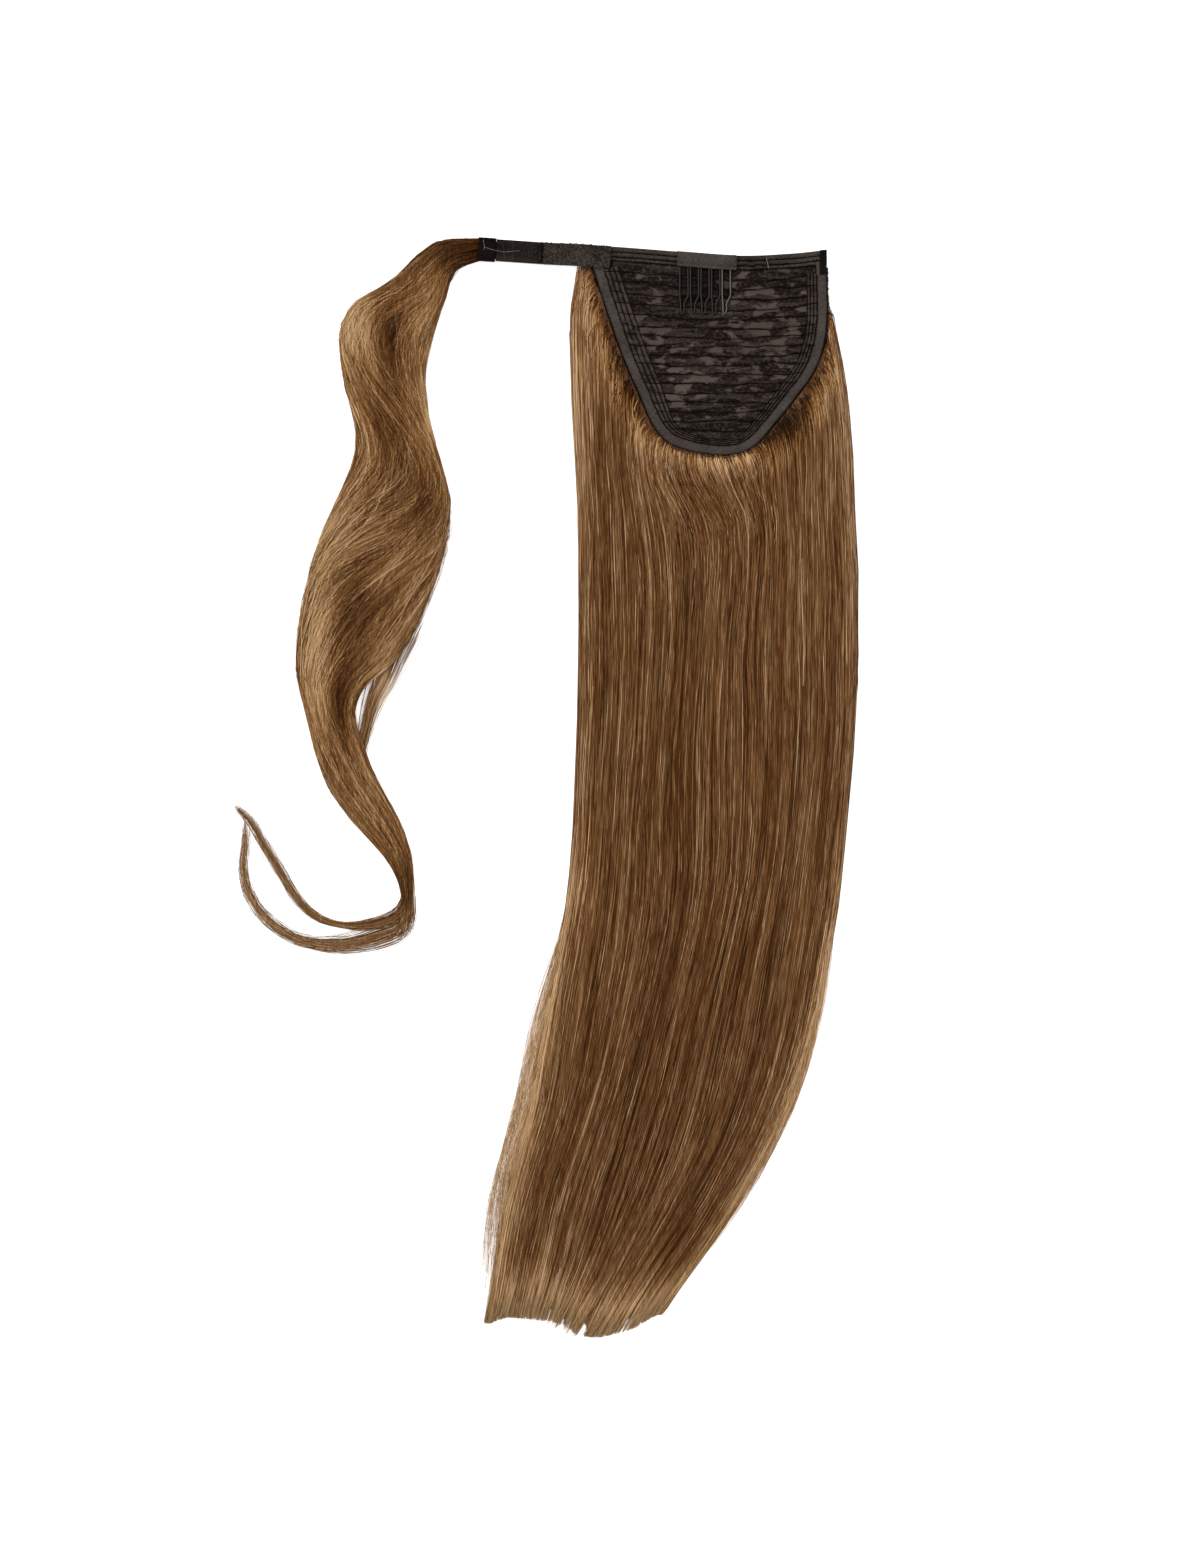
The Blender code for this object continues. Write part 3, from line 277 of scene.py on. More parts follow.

# Regions that are paler or darker than the rest, as painted shade in hollows and folds, painted
# highlight on ridges and bulges, and the hair's own paler and darker parts: pixel of the photo,
# half sizes, amount
SHADE_AND_TONE_SPOTS = Table(("x", "y", "wide", "tall", "amount"), (
    (579, 400, 14, 140, 0.26), (580, 760, 9, 300, 0.08), (640, 1120, 70, 160, -0.05),
    (852, 620, 8, 260, 0.16), (838, 430, 12, 90, 0.20), (700, 470, 46, 13, 0.15),
    (790, 428, 26, 18, -0.24), (700, 880, 60, 260, -0.05), (708, 486, 50, 3, -0.12),
    (458, 256, 24, 14, -0.26), (355, 325, 16, 34, 0.40), (391, 346, 10, 48, -0.44),
    (384, 412, 12, 26, -0.22), (428, 508, 12, 27, -0.38), (356, 604, 15, 36, -0.48),
    (341, 690, 9, 50, -0.40), (384, 573, 15, 8, 0.34), (414, 594, 9, 26, 0.16),
    (385, 690, 8, 50, 0.44), (310, 690, 8, 60, 0.14), (384, 828, 10, 20, -0.12),
    (412, 285, 10, 22, -0.12), (395, 430, 14, 22, -0.15), (408, 462, 14, 20, -0.15),
    (431, 390, 7, 55, 0.34), (340, 535, 18, 24, 0.25), (318, 610, 14, 90, 0.36),
    (390, 595, 28, 38, -0.10), (440, 520, 10, 40, 0.10), (404, 880, 14, 26, -0.24),
))

PATH_STEPS = 400
RIM_STATIONS = 400


def ease(share: Array) -> Array:
    """Smooth step from 0 to 1."""
    share = np.clip(share, 0.0, 1.0)
    return share * share * (3.0 - 2.0 * share)


def mix(first: Array, second: Array, share: Array) -> Array:
    """Value at a share of the way from one to another."""
    return first + (second - first) * share


def steps(count: int) -> Array:
    """One row of even steps from 0 to 1."""
    return np.linspace(0.0, 1.0, count)[None, :]


def from_photo(x: Array, y: Array) -> tuple[Array, Array]:
    """Layout place of a pixel of the photo."""
    return (x - PHOTO_ORIGIN[0]) * PIXEL, (PHOTO_ORIGIN[1] - y) * PIXEL


def stack(*values: Array) -> Array:
    """Arrays of x, y and z, broadcast and joined as one array of points."""
    return np.stack(np.broadcast_arrays(*values), axis=-1)


def smooth_path(points: Array, count: int) -> Array:
    """Lay evenly spaced points on a smooth curve through a few given ones.

    Args:
        points: The given points, one row each.
        count: How many points to return.

    Returns:
        The new points, one row each.
    """
    points = np.asarray(points, float)
    for number in (PATH_STEPS + 1, count):
        gaps = np.linalg.norm(np.diff(points, axis=0), axis=1)
        distance = np.concatenate(([0.0], np.cumsum(gaps)))
        points = hermite(distance, points, np.linspace(0.0, distance[-1], number))
    return points


def path_normals(path: Array) -> Array:
    """Unit normals to the right of a plan path, one at each point."""
    along = np.gradient(path, axis=0)
    along /= np.linalg.norm(along, axis=1, keepdims=True)
    return np.stack((along[:, 1], -along[:, 0]), axis=1)


def top_line(x: Array) -> Array:
    """Plan height of the band's top edge."""
    return BAND_LINE.read("rise", np.asarray(x) / (CAP_WIDTH / 2.0)) * BAND_SAG


def bed(x: Array, y: Array) -> Array:
    """Height of the hair that the cap lies on.

    Args:
        x: Places along X.
        y: Places along Y.

    Returns:
        The heights.
    """
    down = np.clip((-y - BAND_WIDTH) / (CAP_DEPTH - BAND_WIDTH), 0.0, 1.0)
    across = np.minimum(1.0, np.abs(x) / (CAP_WIDTH / 2.0))
    dish = CAP_DISH * np.sin(math.pi * down) * (1.0 - across * across)
    return mix(BED_AT_BAND, BED_AT_RIM, ease(down)) - dish


def waver(at: Array, seed: float, amount: float = 1.0) -> Array:
    """Slow irregular wave along a length.

    Args:
        at: Positions, where the slowest swing takes about one unit.
        seed: Shift that makes each wave its own.
        amount: Height of the wave.

    Returns:
        The wave's height at each position.
    """
    swing = np.sin(6.3 * at + 5.1 * seed) + 0.6 * np.sin(14.7 * at + 9.7 * seed)
    return amount * (swing + 0.4 * np.sin(33.1 * at + 3.3 * seed)) / 2.0


def regional_shade_and_tone(x: Array, y: Array) -> Array:
    """How much paler or darker the hair is at a place on the plan: painted shade in hollows and
    folds, painted highlight on ridges and bulges, and the hair's own tone.

    Args:
        x: Places along X.
        y: Places along Y.

    Returns:
        What to add to the tone.
    """
    total = np.zeros(np.broadcast(x, y).shape)
    for pixel_x, pixel_y, wide, tall, amount in SHADE_AND_TONE_SPOTS.rows:
        centre_x, centre_y = from_photo(pixel_x, pixel_y)
        away = ((x - centre_x) / (wide * PIXEL)) ** 2 + ((y - centre_y) / (tall * PIXEL)) ** 2
        total += amount * np.exp(-away)
    return total


class Ground:
    """Upper surface of a CAD node, for pieces that lie on it."""

    def __init__(self, node: str) -> None:
        """Gather the node's faces."""
        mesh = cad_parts[node].data
        corners = [vertex.co.copy() for vertex in mesh.vertices]
        self.tree = BVHTree.FromPolygons(corners, [list(face.vertices) for face in mesh.polygons])

    def height(self, x: Array, y: Array, missing: float = math.nan) -> Array:
        """Height of the surface at places of the layout.

        Args:
            x: Places along X.
            y: Places along Y.
            missing: Height where there is no surface.

        Returns:
            The heights.
        """
        x, y = np.broadcast_arrays(x, y)
        heights = np.full(x.size, missing)
        down = Vector((0.0, 0.0, -1.0))
        for index, (px, py) in enumerate(zip(x.ravel() + LAYOUT[0], y.ravel() + LAYOUT[1])):
            hit = self.tree.ray_cast(Vector((px, py, 1.0)), down)[0]
            if hit is not None:
                heights[index] = hit.z
        return heights.reshape(x.shape)


class Rim:
    """The cap's rim on the plan, from its left corner round to its right one."""

    def __init__(self) -> None:
        """Lay the rim's path and its outward normals."""
        points = np.stack((RIM.column("across") * CAP_WIDTH / 2.0, -RIM.column("down") * CAP_DEPTH), 1)
        self.path = smooth_path(points, RIM_STATIONS)
        self.normals = path_normals(self.path)
        self.steps = np.linspace(0.0, 1.0, RIM_STATIONS)
        self.length = float(np.linalg.norm(np.diff(self.path, axis=0), axis=1).sum())

    def at(self, share: Array) -> tuple[Array, Array]:
        """Points and outward normals at shares of the rim's length."""
        place = np.stack([np.interp(share, self.steps, self.path[:, axis]) for axis in (0, 1)], -1)
        normal = np.stack([np.interp(share, self.steps, self.normals[:, axis]) for axis in (0, 1)], -1)
        return place, normal / np.linalg.norm(normal, axis=-1, keepdims=True)

    def span(self, line: Callable[[Array], Array], inset: float) -> tuple[float, float] | None:
        """Find where a plan line crosses the rim moved inwards.

        Args:
            line: The line's y for each x.
            inset: How far inside the rim.

        Returns:
            The leftmost and the rightmost x, or None where it misses the rim.
        """
        inner = self.path - self.normals * inset
        over = inner[:, 1] - line(inner[:, 0])
        change = np.flatnonzero((over[1:] > 0.0) != (over[:-1] > 0.0))
        if len(change) < 2:
            return None
        share = over[change] / (over[change] - over[change + 1])
        crossings = mix(inner[change, 0], inner[change + 1, 0], share)
        return float(crossings[0]), float(crossings[-1])


RIM_CURVE = Rim()


class Wire:
    """A socket of a shader tree. Arithmetic on it adds Math nodes."""

    def __init__(self, tree: "Tree", socket: bpy.types.NodeSocket) -> None:
        """Wrap one output socket of a tree."""
        self.tree = tree
        self.socket = socket

    def math(self, operation: str, *others: "Wire | float") -> "Wire":
        """Result of a Math node on this value and others."""
        inputs = dict(enumerate((self, *others)))
        return self.tree.node("ShaderNodeMath", {"operation": operation}, inputs)

    def __add__(self, other: "Wire | float") -> "Wire":
        """Sum."""
        return self.math("ADD", other)

    __radd__ = __add__

    def __sub__(self, other: "Wire | float") -> "Wire":
        """Difference."""
        return self.math("SUBTRACT", other)

    def __rsub__(self, other: float) -> "Wire":
        """Difference, reflected."""
        return self.tree.node("ShaderNodeMath", {"operation": "SUBTRACT"}, {0: other, 1: self})

    def __mul__(self, other: "Wire | float") -> "Wire":
        """Product."""
        return self.math("MULTIPLY", other)

    __rmul__ = __mul__

    def sine(self) -> "Wire":
        """Sine of the value in radians."""
        return self.math("SINE")

    def ramp(self, low: float, high: float) -> "Wire":
        """Smooth step from 0 at one value to 1 at another."""
        inputs = {0: self, 1: low, 2: high, 3: 0.0, 4: 1.0}
        return self.tree.node("ShaderNodeMapRange", {"interpolation_type": "SMOOTHSTEP"}, inputs)


class Tree:
    """Node tree of one material, with a Principled shader."""

    def __init__(self, name: str) -> None:
        """Start a material."""
        self.material = bpy.data.materials.new(name)
        self.material.use_nodes = True
        self.tree = self.material.node_tree
        self.shader = self.tree.nodes["Principled BSDF"]

    def node(self, kind: str, settings: dict, inputs: dict, output: int | str = 0) -> Wire:
        """Add any node.

        Args:
            kind: The node's type.
            settings: Its own settings, set before its sockets.
            inputs: Values or wires for its input sockets, by name or number.
            output: Which output to return.

        Returns:
            The output asked for.
        """
        node = self.tree.nodes.new(kind)
        for name, value in settings.items():
            if name == "stops":
                ramp = node.color_ramp
                while len(ramp.elements) < len(value):
                    ramp.elements.new(0.5)
                for element, (position, colour) in zip(ramp.elements, value):
                    element.position = position
                    element.color = (*colour, 1.0)
            else:
                setattr(node, name, value)
        for name, value in inputs.items():
            self.feed(node.inputs[name], value)
        return Wire(self, node.outputs[output])

    def feed(self, socket: bpy.types.NodeSocket, value: "Wire | float | tuple") -> None:
        """Link a wire to a socket, or set its value.

        Args:
            socket: The input.
            value: What to feed it.
        """
        if isinstance(value, Wire):
            self.tree.links.new(value.socket, socket)
        elif isinstance(value, tuple) and len(socket.default_value) == 4:
            socket.default_value = (*value, 1.0)[:4]
        else:
            socket.default_value = value

    def place(self, scale: Triple) -> Wire:
        """Object coordinates, scaled along each axis."""
        coordinates = self.node("ShaderNodeTexCoord", {}, {}, "Object")
        return self.node("ShaderNodeMapping", {}, {"Vector": coordinates, "Scale": scale})

    def mark(self, name: str) -> Wire:
        """A number that the mesh carries at each point."""
        return self.node("ShaderNodeAttribute", {"attribute_name": name}, {}, "Fac")

    def noise(self, scale: Triple, detail: float = 2.0) -> Wire:
        """Noise on object coordinates, with features one unit over the scale in size."""
        inputs = {"Vector": self.place(scale), "Scale": 1.0, "Detail": detail}
        return self.node("ShaderNodeTexNoise", {}, inputs, "Fac")

    def blend(self, share: "Wire | float", first: "Wire | tuple", second: "Wire | tuple") -> Wire:
        """Mix of two colours."""
        return self.node("ShaderNodeMix", {"data_type": "RGBA"}, {0: share, 6: first, 7: second}, 2)

    def bump(self, height: Wire, distance: float, strength: float = 0.6) -> Wire:
        """Normal from a height of 0 to 1 that stands for a distance in metres."""
        inputs = {"Height": height, "Distance": distance, "Strength": strength}
        return self.node("ShaderNodeBump", {}, inputs)

    def set(self, **inputs: "Wire | float | tuple") -> None:
        """Feed sockets of the shader, named with underscores for spaces."""
        for name, value in inputs.items():
            self.feed(self.shader.inputs[name.replace("_", " ")], value)


def tint(red: float, green: float, blue: float) -> Triple:
    """Linear colour from display values of 0 to 255."""
    shown = np.array((red, green, blue)) / 255.0
    linear = np.where(shown <= 0.04045, shown / 12.92, ((shown + 0.055) / 1.055) ** 2.4)
    return tuple(float(value) for value in linear)


@dataclass(frozen=True)
class HairFinish:
    """Hair whose strands run from deep brown to pale gold, with a warmer range near the roots."""

    name: str
    cool: tuple[Triple, ...] = (
        tint(34, 12, 1), tint(76, 40, 9), tint(108, 71, 38), tint(143, 107, 71), tint(202, 170, 132),
    )
    warm: tuple[Triple, ...] = (
        tint(20, 6, 1), tint(62, 30, 8), tint(112, 73, 34), tint(160, 116, 68), tint(208, 170, 120),
    )
    stops: tuple[float, ...] = (0.0, 0.28, 0.50, 0.74, 1.0)
    shine: Triple = (1.0, 0.66, 0.38)
    roughness: float = 0.42

    def material(self) -> bpy.types.Material:
        """Make the material from each strand's tone and warmth, and from streaks along it.

        Returns:
            The material.
        """
        tree = Tree(self.name)
        along = tree.node(
            "ShaderNodeCombineXYZ", {}, {"X": tree.mark("strand"), "Y": tree.mark("reach") * 34.0}
        )
        streak = tree.node("ShaderNodeTexNoise", {}, {"Vector": along, "Scale": 1.0, "Detail": 2.0})
        grain = tree.noise((1400.0, 110.0, 1400.0), 1.0)
        # The tone mark carries painted shade and painted highlight as well as each strand's own tone
        tone = tree.mark("tone") + (streak - 0.5) * 0.90 + (grain - 0.5) * 0.50
        ramps = [
            tree.node("ShaderNodeValToRGB", {"stops": tuple(zip(self.stops, colours))}, {"Fac": tone})
            for colours in (self.cool, self.warm)
        ]
        colour = tree.blend(tree.mark("warm"), *ramps)
        tree.set(
            Base_Color=colour, Roughness=self.roughness, Specular_IOR_Level=0.20, Specular_Tint=self.shine
        )
        return tree.material


@dataclass(frozen=True)
class CoreFinish:
    """Packed hair below the strands that show, streaked along its length."""

    name: str
    dark: Triple = tint(44, 24, 9)
    light: Triple = tint(94, 62, 36)
    pale: Triple = tint(154, 120, 84)

    def material(self) -> bpy.types.Material:
        """Make the material from noise that is drawn out along the hair.

        Returns:
            The material.
        """
        tree = Tree(self.name)
        streak = tree.noise((1100.0, 14.0, 500.0), 3.0)
        wide = tree.noise((260.0, 5.0, 120.0), 2.0)
        share = (streak * 0.65 + wide * 0.35).ramp(0.34, 0.66)
        colour = tree.blend(share, self.dark, self.light)
        # Paler where the mark pale is set: the hair's own paler ends, with painted light shining through thin
        # hair
        colour = tree.blend(tree.mark("pale") * (0.6 + streak * 0.4), colour, self.pale)
        tree.set(
            Base_Color=colour, Roughness=0.55, Specular_IOR_Level=0.12, Normal=tree.bump(streak, 0.0004)
        )
        return tree.material


@dataclass(frozen=True)
class ClothFinish:
    """Woven or knitted cloth with a fine thread pattern and worn highs."""

    name: str
    dark: Triple
    light: Triple
    threads: Triple
    roughness: float
    relief: float = 0.00012
    shine: float = 0.05

    def material(self) -> bpy.types.Material:
        """Make the material from crossed threads, fibre noise and slow fading.

        Returns:
            The material.
        """
        tree = Tree(self.name)
        fibre = tree.noise(self.threads, 2.0)
        fade = tree.noise((90.0, 90.0, 90.0), 3.0)
        fuzz = tree.noise((2600.0, 2600.0, 2600.0), 1.0)
        share = (fibre * 0.5 + fade * 0.3 + fuzz * 0.2).ramp(0.36, 0.64)
        colour = tree.blend(share, self.dark, self.light)
        height = fibre * 0.7 + fuzz * 0.3
        tree.set(
            Base_Color=colour,
            Roughness=self.roughness - share * 0.08,
            Specular_IOR_Level=self.shine,
            Normal=tree.bump(height, self.relief),
        )
        return tree.material


@dataclass(frozen=True)
class WeftFinish:
    """Sewn rows of folded hair on net, with smooth worn patches between the stitches."""

    name: str
    # Painted shade in the grooves between rows and below the comb's wires
    groove: Triple = tint(6, 3, 2)
    dark: Triple = tint(20, 14, 12)
    light: Triple = tint(76, 66, 60)

    def material(self) -> bpy.types.Material:
        """Make the material from ragged patches, rows of machine stitches, and painted shade in the
        grooves where the rows meet and below the comb.

        Returns:
            The material.
        """
        tree = Tree(self.name)
        groove = tree.mark("groove")
        leaf = tree.noise((112.0, 200.0, 112.0), 5.0) * 0.62 + tree.noise((46.0, 62.0, 46.0), 3.0) * 0.38
        patch = (leaf + (tree.mark("patch") - 0.5) * 0.06).ramp(0.530, 0.575)
        worn = tree.noise((34.0, 70.0, 34.0), 3.0).ramp(0.30, 0.70)
        rough = tree.noise((520.0, 900.0, 520.0), 3.0)
        across = tree.node("ShaderNodeSeparateXYZ", {}, {"Vector": tree.place((1.0, 1.0, 1.0))}, "X")
        ticks = (across * (math.tau / (0.85 * MM)) + rough * 3.0).sine() * 0.5 + 0.5
        runs = tree.noise((50.0, 380.0, 50.0), 1.0).ramp(0.52, 0.58)
        ground = rough.ramp(0.44, 0.72) * 0.36 + ticks * runs * 0.40
        share = patch * (0.62 + worn * 0.38 - rough.ramp(0.55, 0.70) * 0.25) + (1.0 - patch) * ground
        colour = tree.blend(share, self.dark, self.light)
        colour = tree.blend(groove, colour, self.groove)
        height = patch * 0.8 + (1.0 - patch) * (rough * 0.7 + ticks * runs * 0.3)
        tree.set(
            Base_Color=colour,
            Roughness=0.85 - patch * 0.20,
            Specular_IOR_Level=0.03,
            Normal=tree.bump(height, 0.00035, 0.8),
        )
        return tree.material


@dataclass(frozen=True)
class WireFinish:
    """Dark coated wire with small worn places, and painted highlights where the mark lit is set."""

    name: str = "coated_wire"

    def material(self) -> bpy.types.Material:
        """Make the material, smoother where the coat is worn, with painted highlights where the mark lit
        is set, greyer where worn places lie under them.

        Returns:
            The material.
        """
        tree = Tree(self.name)
        worn = tree.noise((500.0, 110.0, 500.0), 2.0).ramp(0.56, 0.74)
        lit = tree.mark("lit")
        colour = tree.blend(worn * 0.6 * lit, tint(8, 6, 6), tint(70, 64, 60))
        colour = tree.blend(lit, colour, tint(142, 132, 121))
        tree.set(
            Base_Color=colour, Metallic=worn * 0.3, Roughness=0.42 - worn * 0.08, Specular_IOR_Level=0.10
        )
        return tree.material


# Scale of the fibres on sewing threads
FINE_THREADS = (2500.0, 2500.0, 900.0)


class Cloth(Enum):
    """Cloth and thread finishes of the cap and the strap."""

    NET = ClothFinish("cap_net", tint(14, 9, 8), tint(40, 33, 29), (1500.0, 1500.0, 500.0), 0.85)
    SATIN = ClothFinish(
        "satin_tape", tint(44, 38, 34), tint(66, 59, 54), (700.0, 1500.0, 500.0), 0.6, 0.00004, 0.08
    )
    WEB = ClothFinish("ribbed_web", tint(30, 24, 21), tint(66, 58, 53), (1900.0, 700.0, 500.0), 0.78)
    RIBS = ClothFinish("seam_ribs", tint(28, 22, 19), tint(62, 54, 49), (300.0, 300.0, 300.0), 0.75)
    PILE = ClothFinish("loop_ground", tint(14, 10, 9), tint(46, 39, 35), (1500.0, 1500.0, 900.0), 0.9)
    FUZZ = ClothFinish("loop_fuzz", tint(42, 35, 31), tint(88, 79, 72), (900.0, 900.0, 900.0), 0.9)
    HOOKS = ClothFinish("hook_ribs", tint(14, 10, 8), tint(40, 34, 31), (700.0, 2500.0, 500.0), 0.6)
    BLACK = ClothFinish("black_thread", tint(4, 2, 2), tint(24, 18, 16), FINE_THREADS, 0.7, shine=0.03)
    DARK = ClothFinish("seam_thread", tint(5, 3, 2), tint(20, 15, 13), FINE_THREADS, 0.8, shine=0.02)
    TICKS = ClothFinish("tick_thread", tint(48, 41, 37), tint(84, 75, 69), FINE_THREADS, 0.8, shine=0.04)
    PALE = ClothFinish("pale_thread", tint(96, 87, 78), tint(150, 140, 128), FINE_THREADS, 0.7)


# Materials that are already made, by name
MADE: dict[str, bpy.types.Material] = {}


def material_of(finish: object) -> bpy.types.Material:
    """The material of a finish, made when it is first asked for.

    Args:
        finish: A finish, or an option that holds one.

    Returns:
        The material.
    """
    recipe = finish.value if isinstance(finish, Cloth) else finish
    if recipe.name not in MADE:
        MADE[recipe.name] = recipe.material()
    return MADE[recipe.name]


def deselect() -> None:
    """Leave object mode's selection empty."""
    bpy.ops.object.select_all(action="DESELECT")


def dress(piece: Piece, finish: object, stands_for: Sequence[str] = ()) -> None:
    """Give a piece its finish, its body and the nodes that it replaces.

    Args:
        piece: The finished piece.
        finish: The finish to put on it.
        stands_for: CAD nodes that it replaces.
    """
    piece.data.materials.clear()
    piece.data.materials.append(material_of(finish))
    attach(piece, BODY)
    if stands_for:
        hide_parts(*stands_for)
    triangles = sum(len(face.vertices) - 2 for face in piece.data.polygons)
    LOG.info("%s: %d triangles", piece.name, triangles)


def points_of(mesh: bpy.types.Mesh) -> Array:
    """The mesh's points, one row each."""
    flat = np.empty(len(mesh.vertices) * 3)
    mesh.vertices.foreach_get("co", flat)
    return flat.reshape(-1, 3)


def put_points(mesh: bpy.types.Mesh, points: Array) -> None:
    """Move the mesh's points."""
    mesh.vertices.foreach_set("co", np.ascontiguousarray(points, float).ravel())
    mesh.update()


def put_mark(mesh: bpy.types.Mesh, name: str, values: Array) -> None:
    """Store one number at each point of a mesh."""
    mark = mesh.attributes.new(name, "FLOAT", "POINT")
    mark.data.foreach_set("value", np.ascontiguousarray(values, np.float32).ravel())


def apply_modifier(piece: Piece, kind: str, **settings: object) -> None:
    """Add a modifier to a piece and apply it.

    Args:
        piece: The piece, which becomes the only selected one.
        kind: The modifier's type.
        settings: Its settings.
    """
    deselect()
    piece.select_set(True)
    bpy.context.view_layer.objects.active = piece
    bpy.ops.object.modifier_add(type=kind)
    modifier = piece.modifiers[-1]
    for name, value in settings.items():
        setattr(modifier, name, value)
    bpy.ops.object.modifier_apply(modifier=modifier.name)


def grid_sheet(name: str, columns: int, rows: int, place: Place) -> Piece:
    """Lay a grid on a surface.

    Args:
        name: The piece's name.
        columns: Faces along u.
        rows: Faces along v.
        place: Layout points for arrays u and v of 0 to 1.

    Returns:
        The open sheet.
    """
    deselect()
    bpy.ops.mesh.primitive_grid_add(x_subdivisions=columns, y_subdivisions=rows, size=1.0)
    piece = bpy.context.object
    piece.name = name
    plan = points_of(piece.data)
    put_points(piece.data, place(plan[:, 0] + 0.5, plan[:, 1] + 0.5) + LAYOUT)
    return piece


def mend(weld: float, fill: bool = False) -> None:
    """Weld the active piece's doubled points and turn its faces outwards.

    Args:
        weld: Points nearer than this become one.
        fill: Whether open edges are closed first.
    """
    bpy.ops.object.mode_set(mode="EDIT")
    bpy.ops.mesh.select_all(action="SELECT")
    bpy.ops.mesh.remove_doubles(threshold=weld)
    if fill:
        bpy.ops.mesh.select_all(action="DESELECT")
        bpy.ops.mesh.select_mode(type="EDGE")
        bpy.ops.mesh.select_non_manifold()
        bpy.ops.mesh.fill_holes(sides=0)
        bpy.ops.mesh.select_all(action="SELECT")
    bpy.ops.mesh.normals_make_consistent(inside=False)
    bpy.ops.object.mode_set(mode="OBJECT")


def section_sweep(
    name: str, columns: int, section: Sequence[tuple[float, float]],
    lay: Callable[[Array, Array, Array], Array],
) -> Piece:
    """Sweep a closed section along a path, from a grid whose long sides meet.

    Args:
        name: The piece's name.
        columns: Stations along the path.
        section: Corners of the section: inset from the path's edge, and level.
        lay: Layout points for arrays of place along the path, inset and level.

    Returns:
        The closed piece.
    """
    corners = np.array([*section, section[0]])

    def place(u: Array, v: Array) -> Array:
        """Points of the sweep."""
        index = np.rint(v * len(section)).astype(int)
        return lay(u, corners[index, 0], corners[index, 1])

    piece = grid_sheet(name, columns, len(section), place)
    mend(WELD, fill=True)
    bpy.ops.object.shade_smooth_by_angle(angle=TAPE_ANGLE)
    return piece


def thread(name: str, path: Array, radius: float, sides: int = 6) -> Piece:
    """Lay one round thread or wire.

    Args:
        name: The piece's name.
        path: Layout points, one row each.
        radius: The thread's radius.
        sides: Points round it.

    Returns:
        The closed piece.
    """
    deselect()
    bpy.ops.curve.primitive_nurbs_path_add()
    piece = bpy.context.object
    piece.name = name
    curve = piece.data
    curve.splines.clear()
    spline = curve.splines.new("POLY")
    spline.points.add(len(path) - 1)
    world = np.concatenate((path + LAYOUT, np.ones((len(path), 1))), axis=1)
    spline.points.foreach_set("co", world.ravel())
    curve.dimensions = "3D"
    curve.twist_mode = "MINIMUM"
    curve.use_fill_caps = True
    curve.bevel_depth = radius
    curve.bevel_resolution = max(0, sides // 2 - 2)
    bpy.ops.object.convert(target="MESH")
    mend(FINE_WELD)
    bpy.ops.object.shade_smooth_by_angle(angle=SOFT_ANGLE)
    return piece


def join(name: str, pieces: Sequence[Piece]) -> Piece:
    """Join pieces into one object.

    Args:
        name: The joined piece's name.
        pieces: The pieces.

    Returns:
        The joined piece.
    """
    deselect()
    for piece in pieces:
        piece.select_set(True)
    bpy.context.view_layer.objects.active = pieces[0]
    bpy.ops.object.join()
    pieces[0].name = name
    return pieces[0]


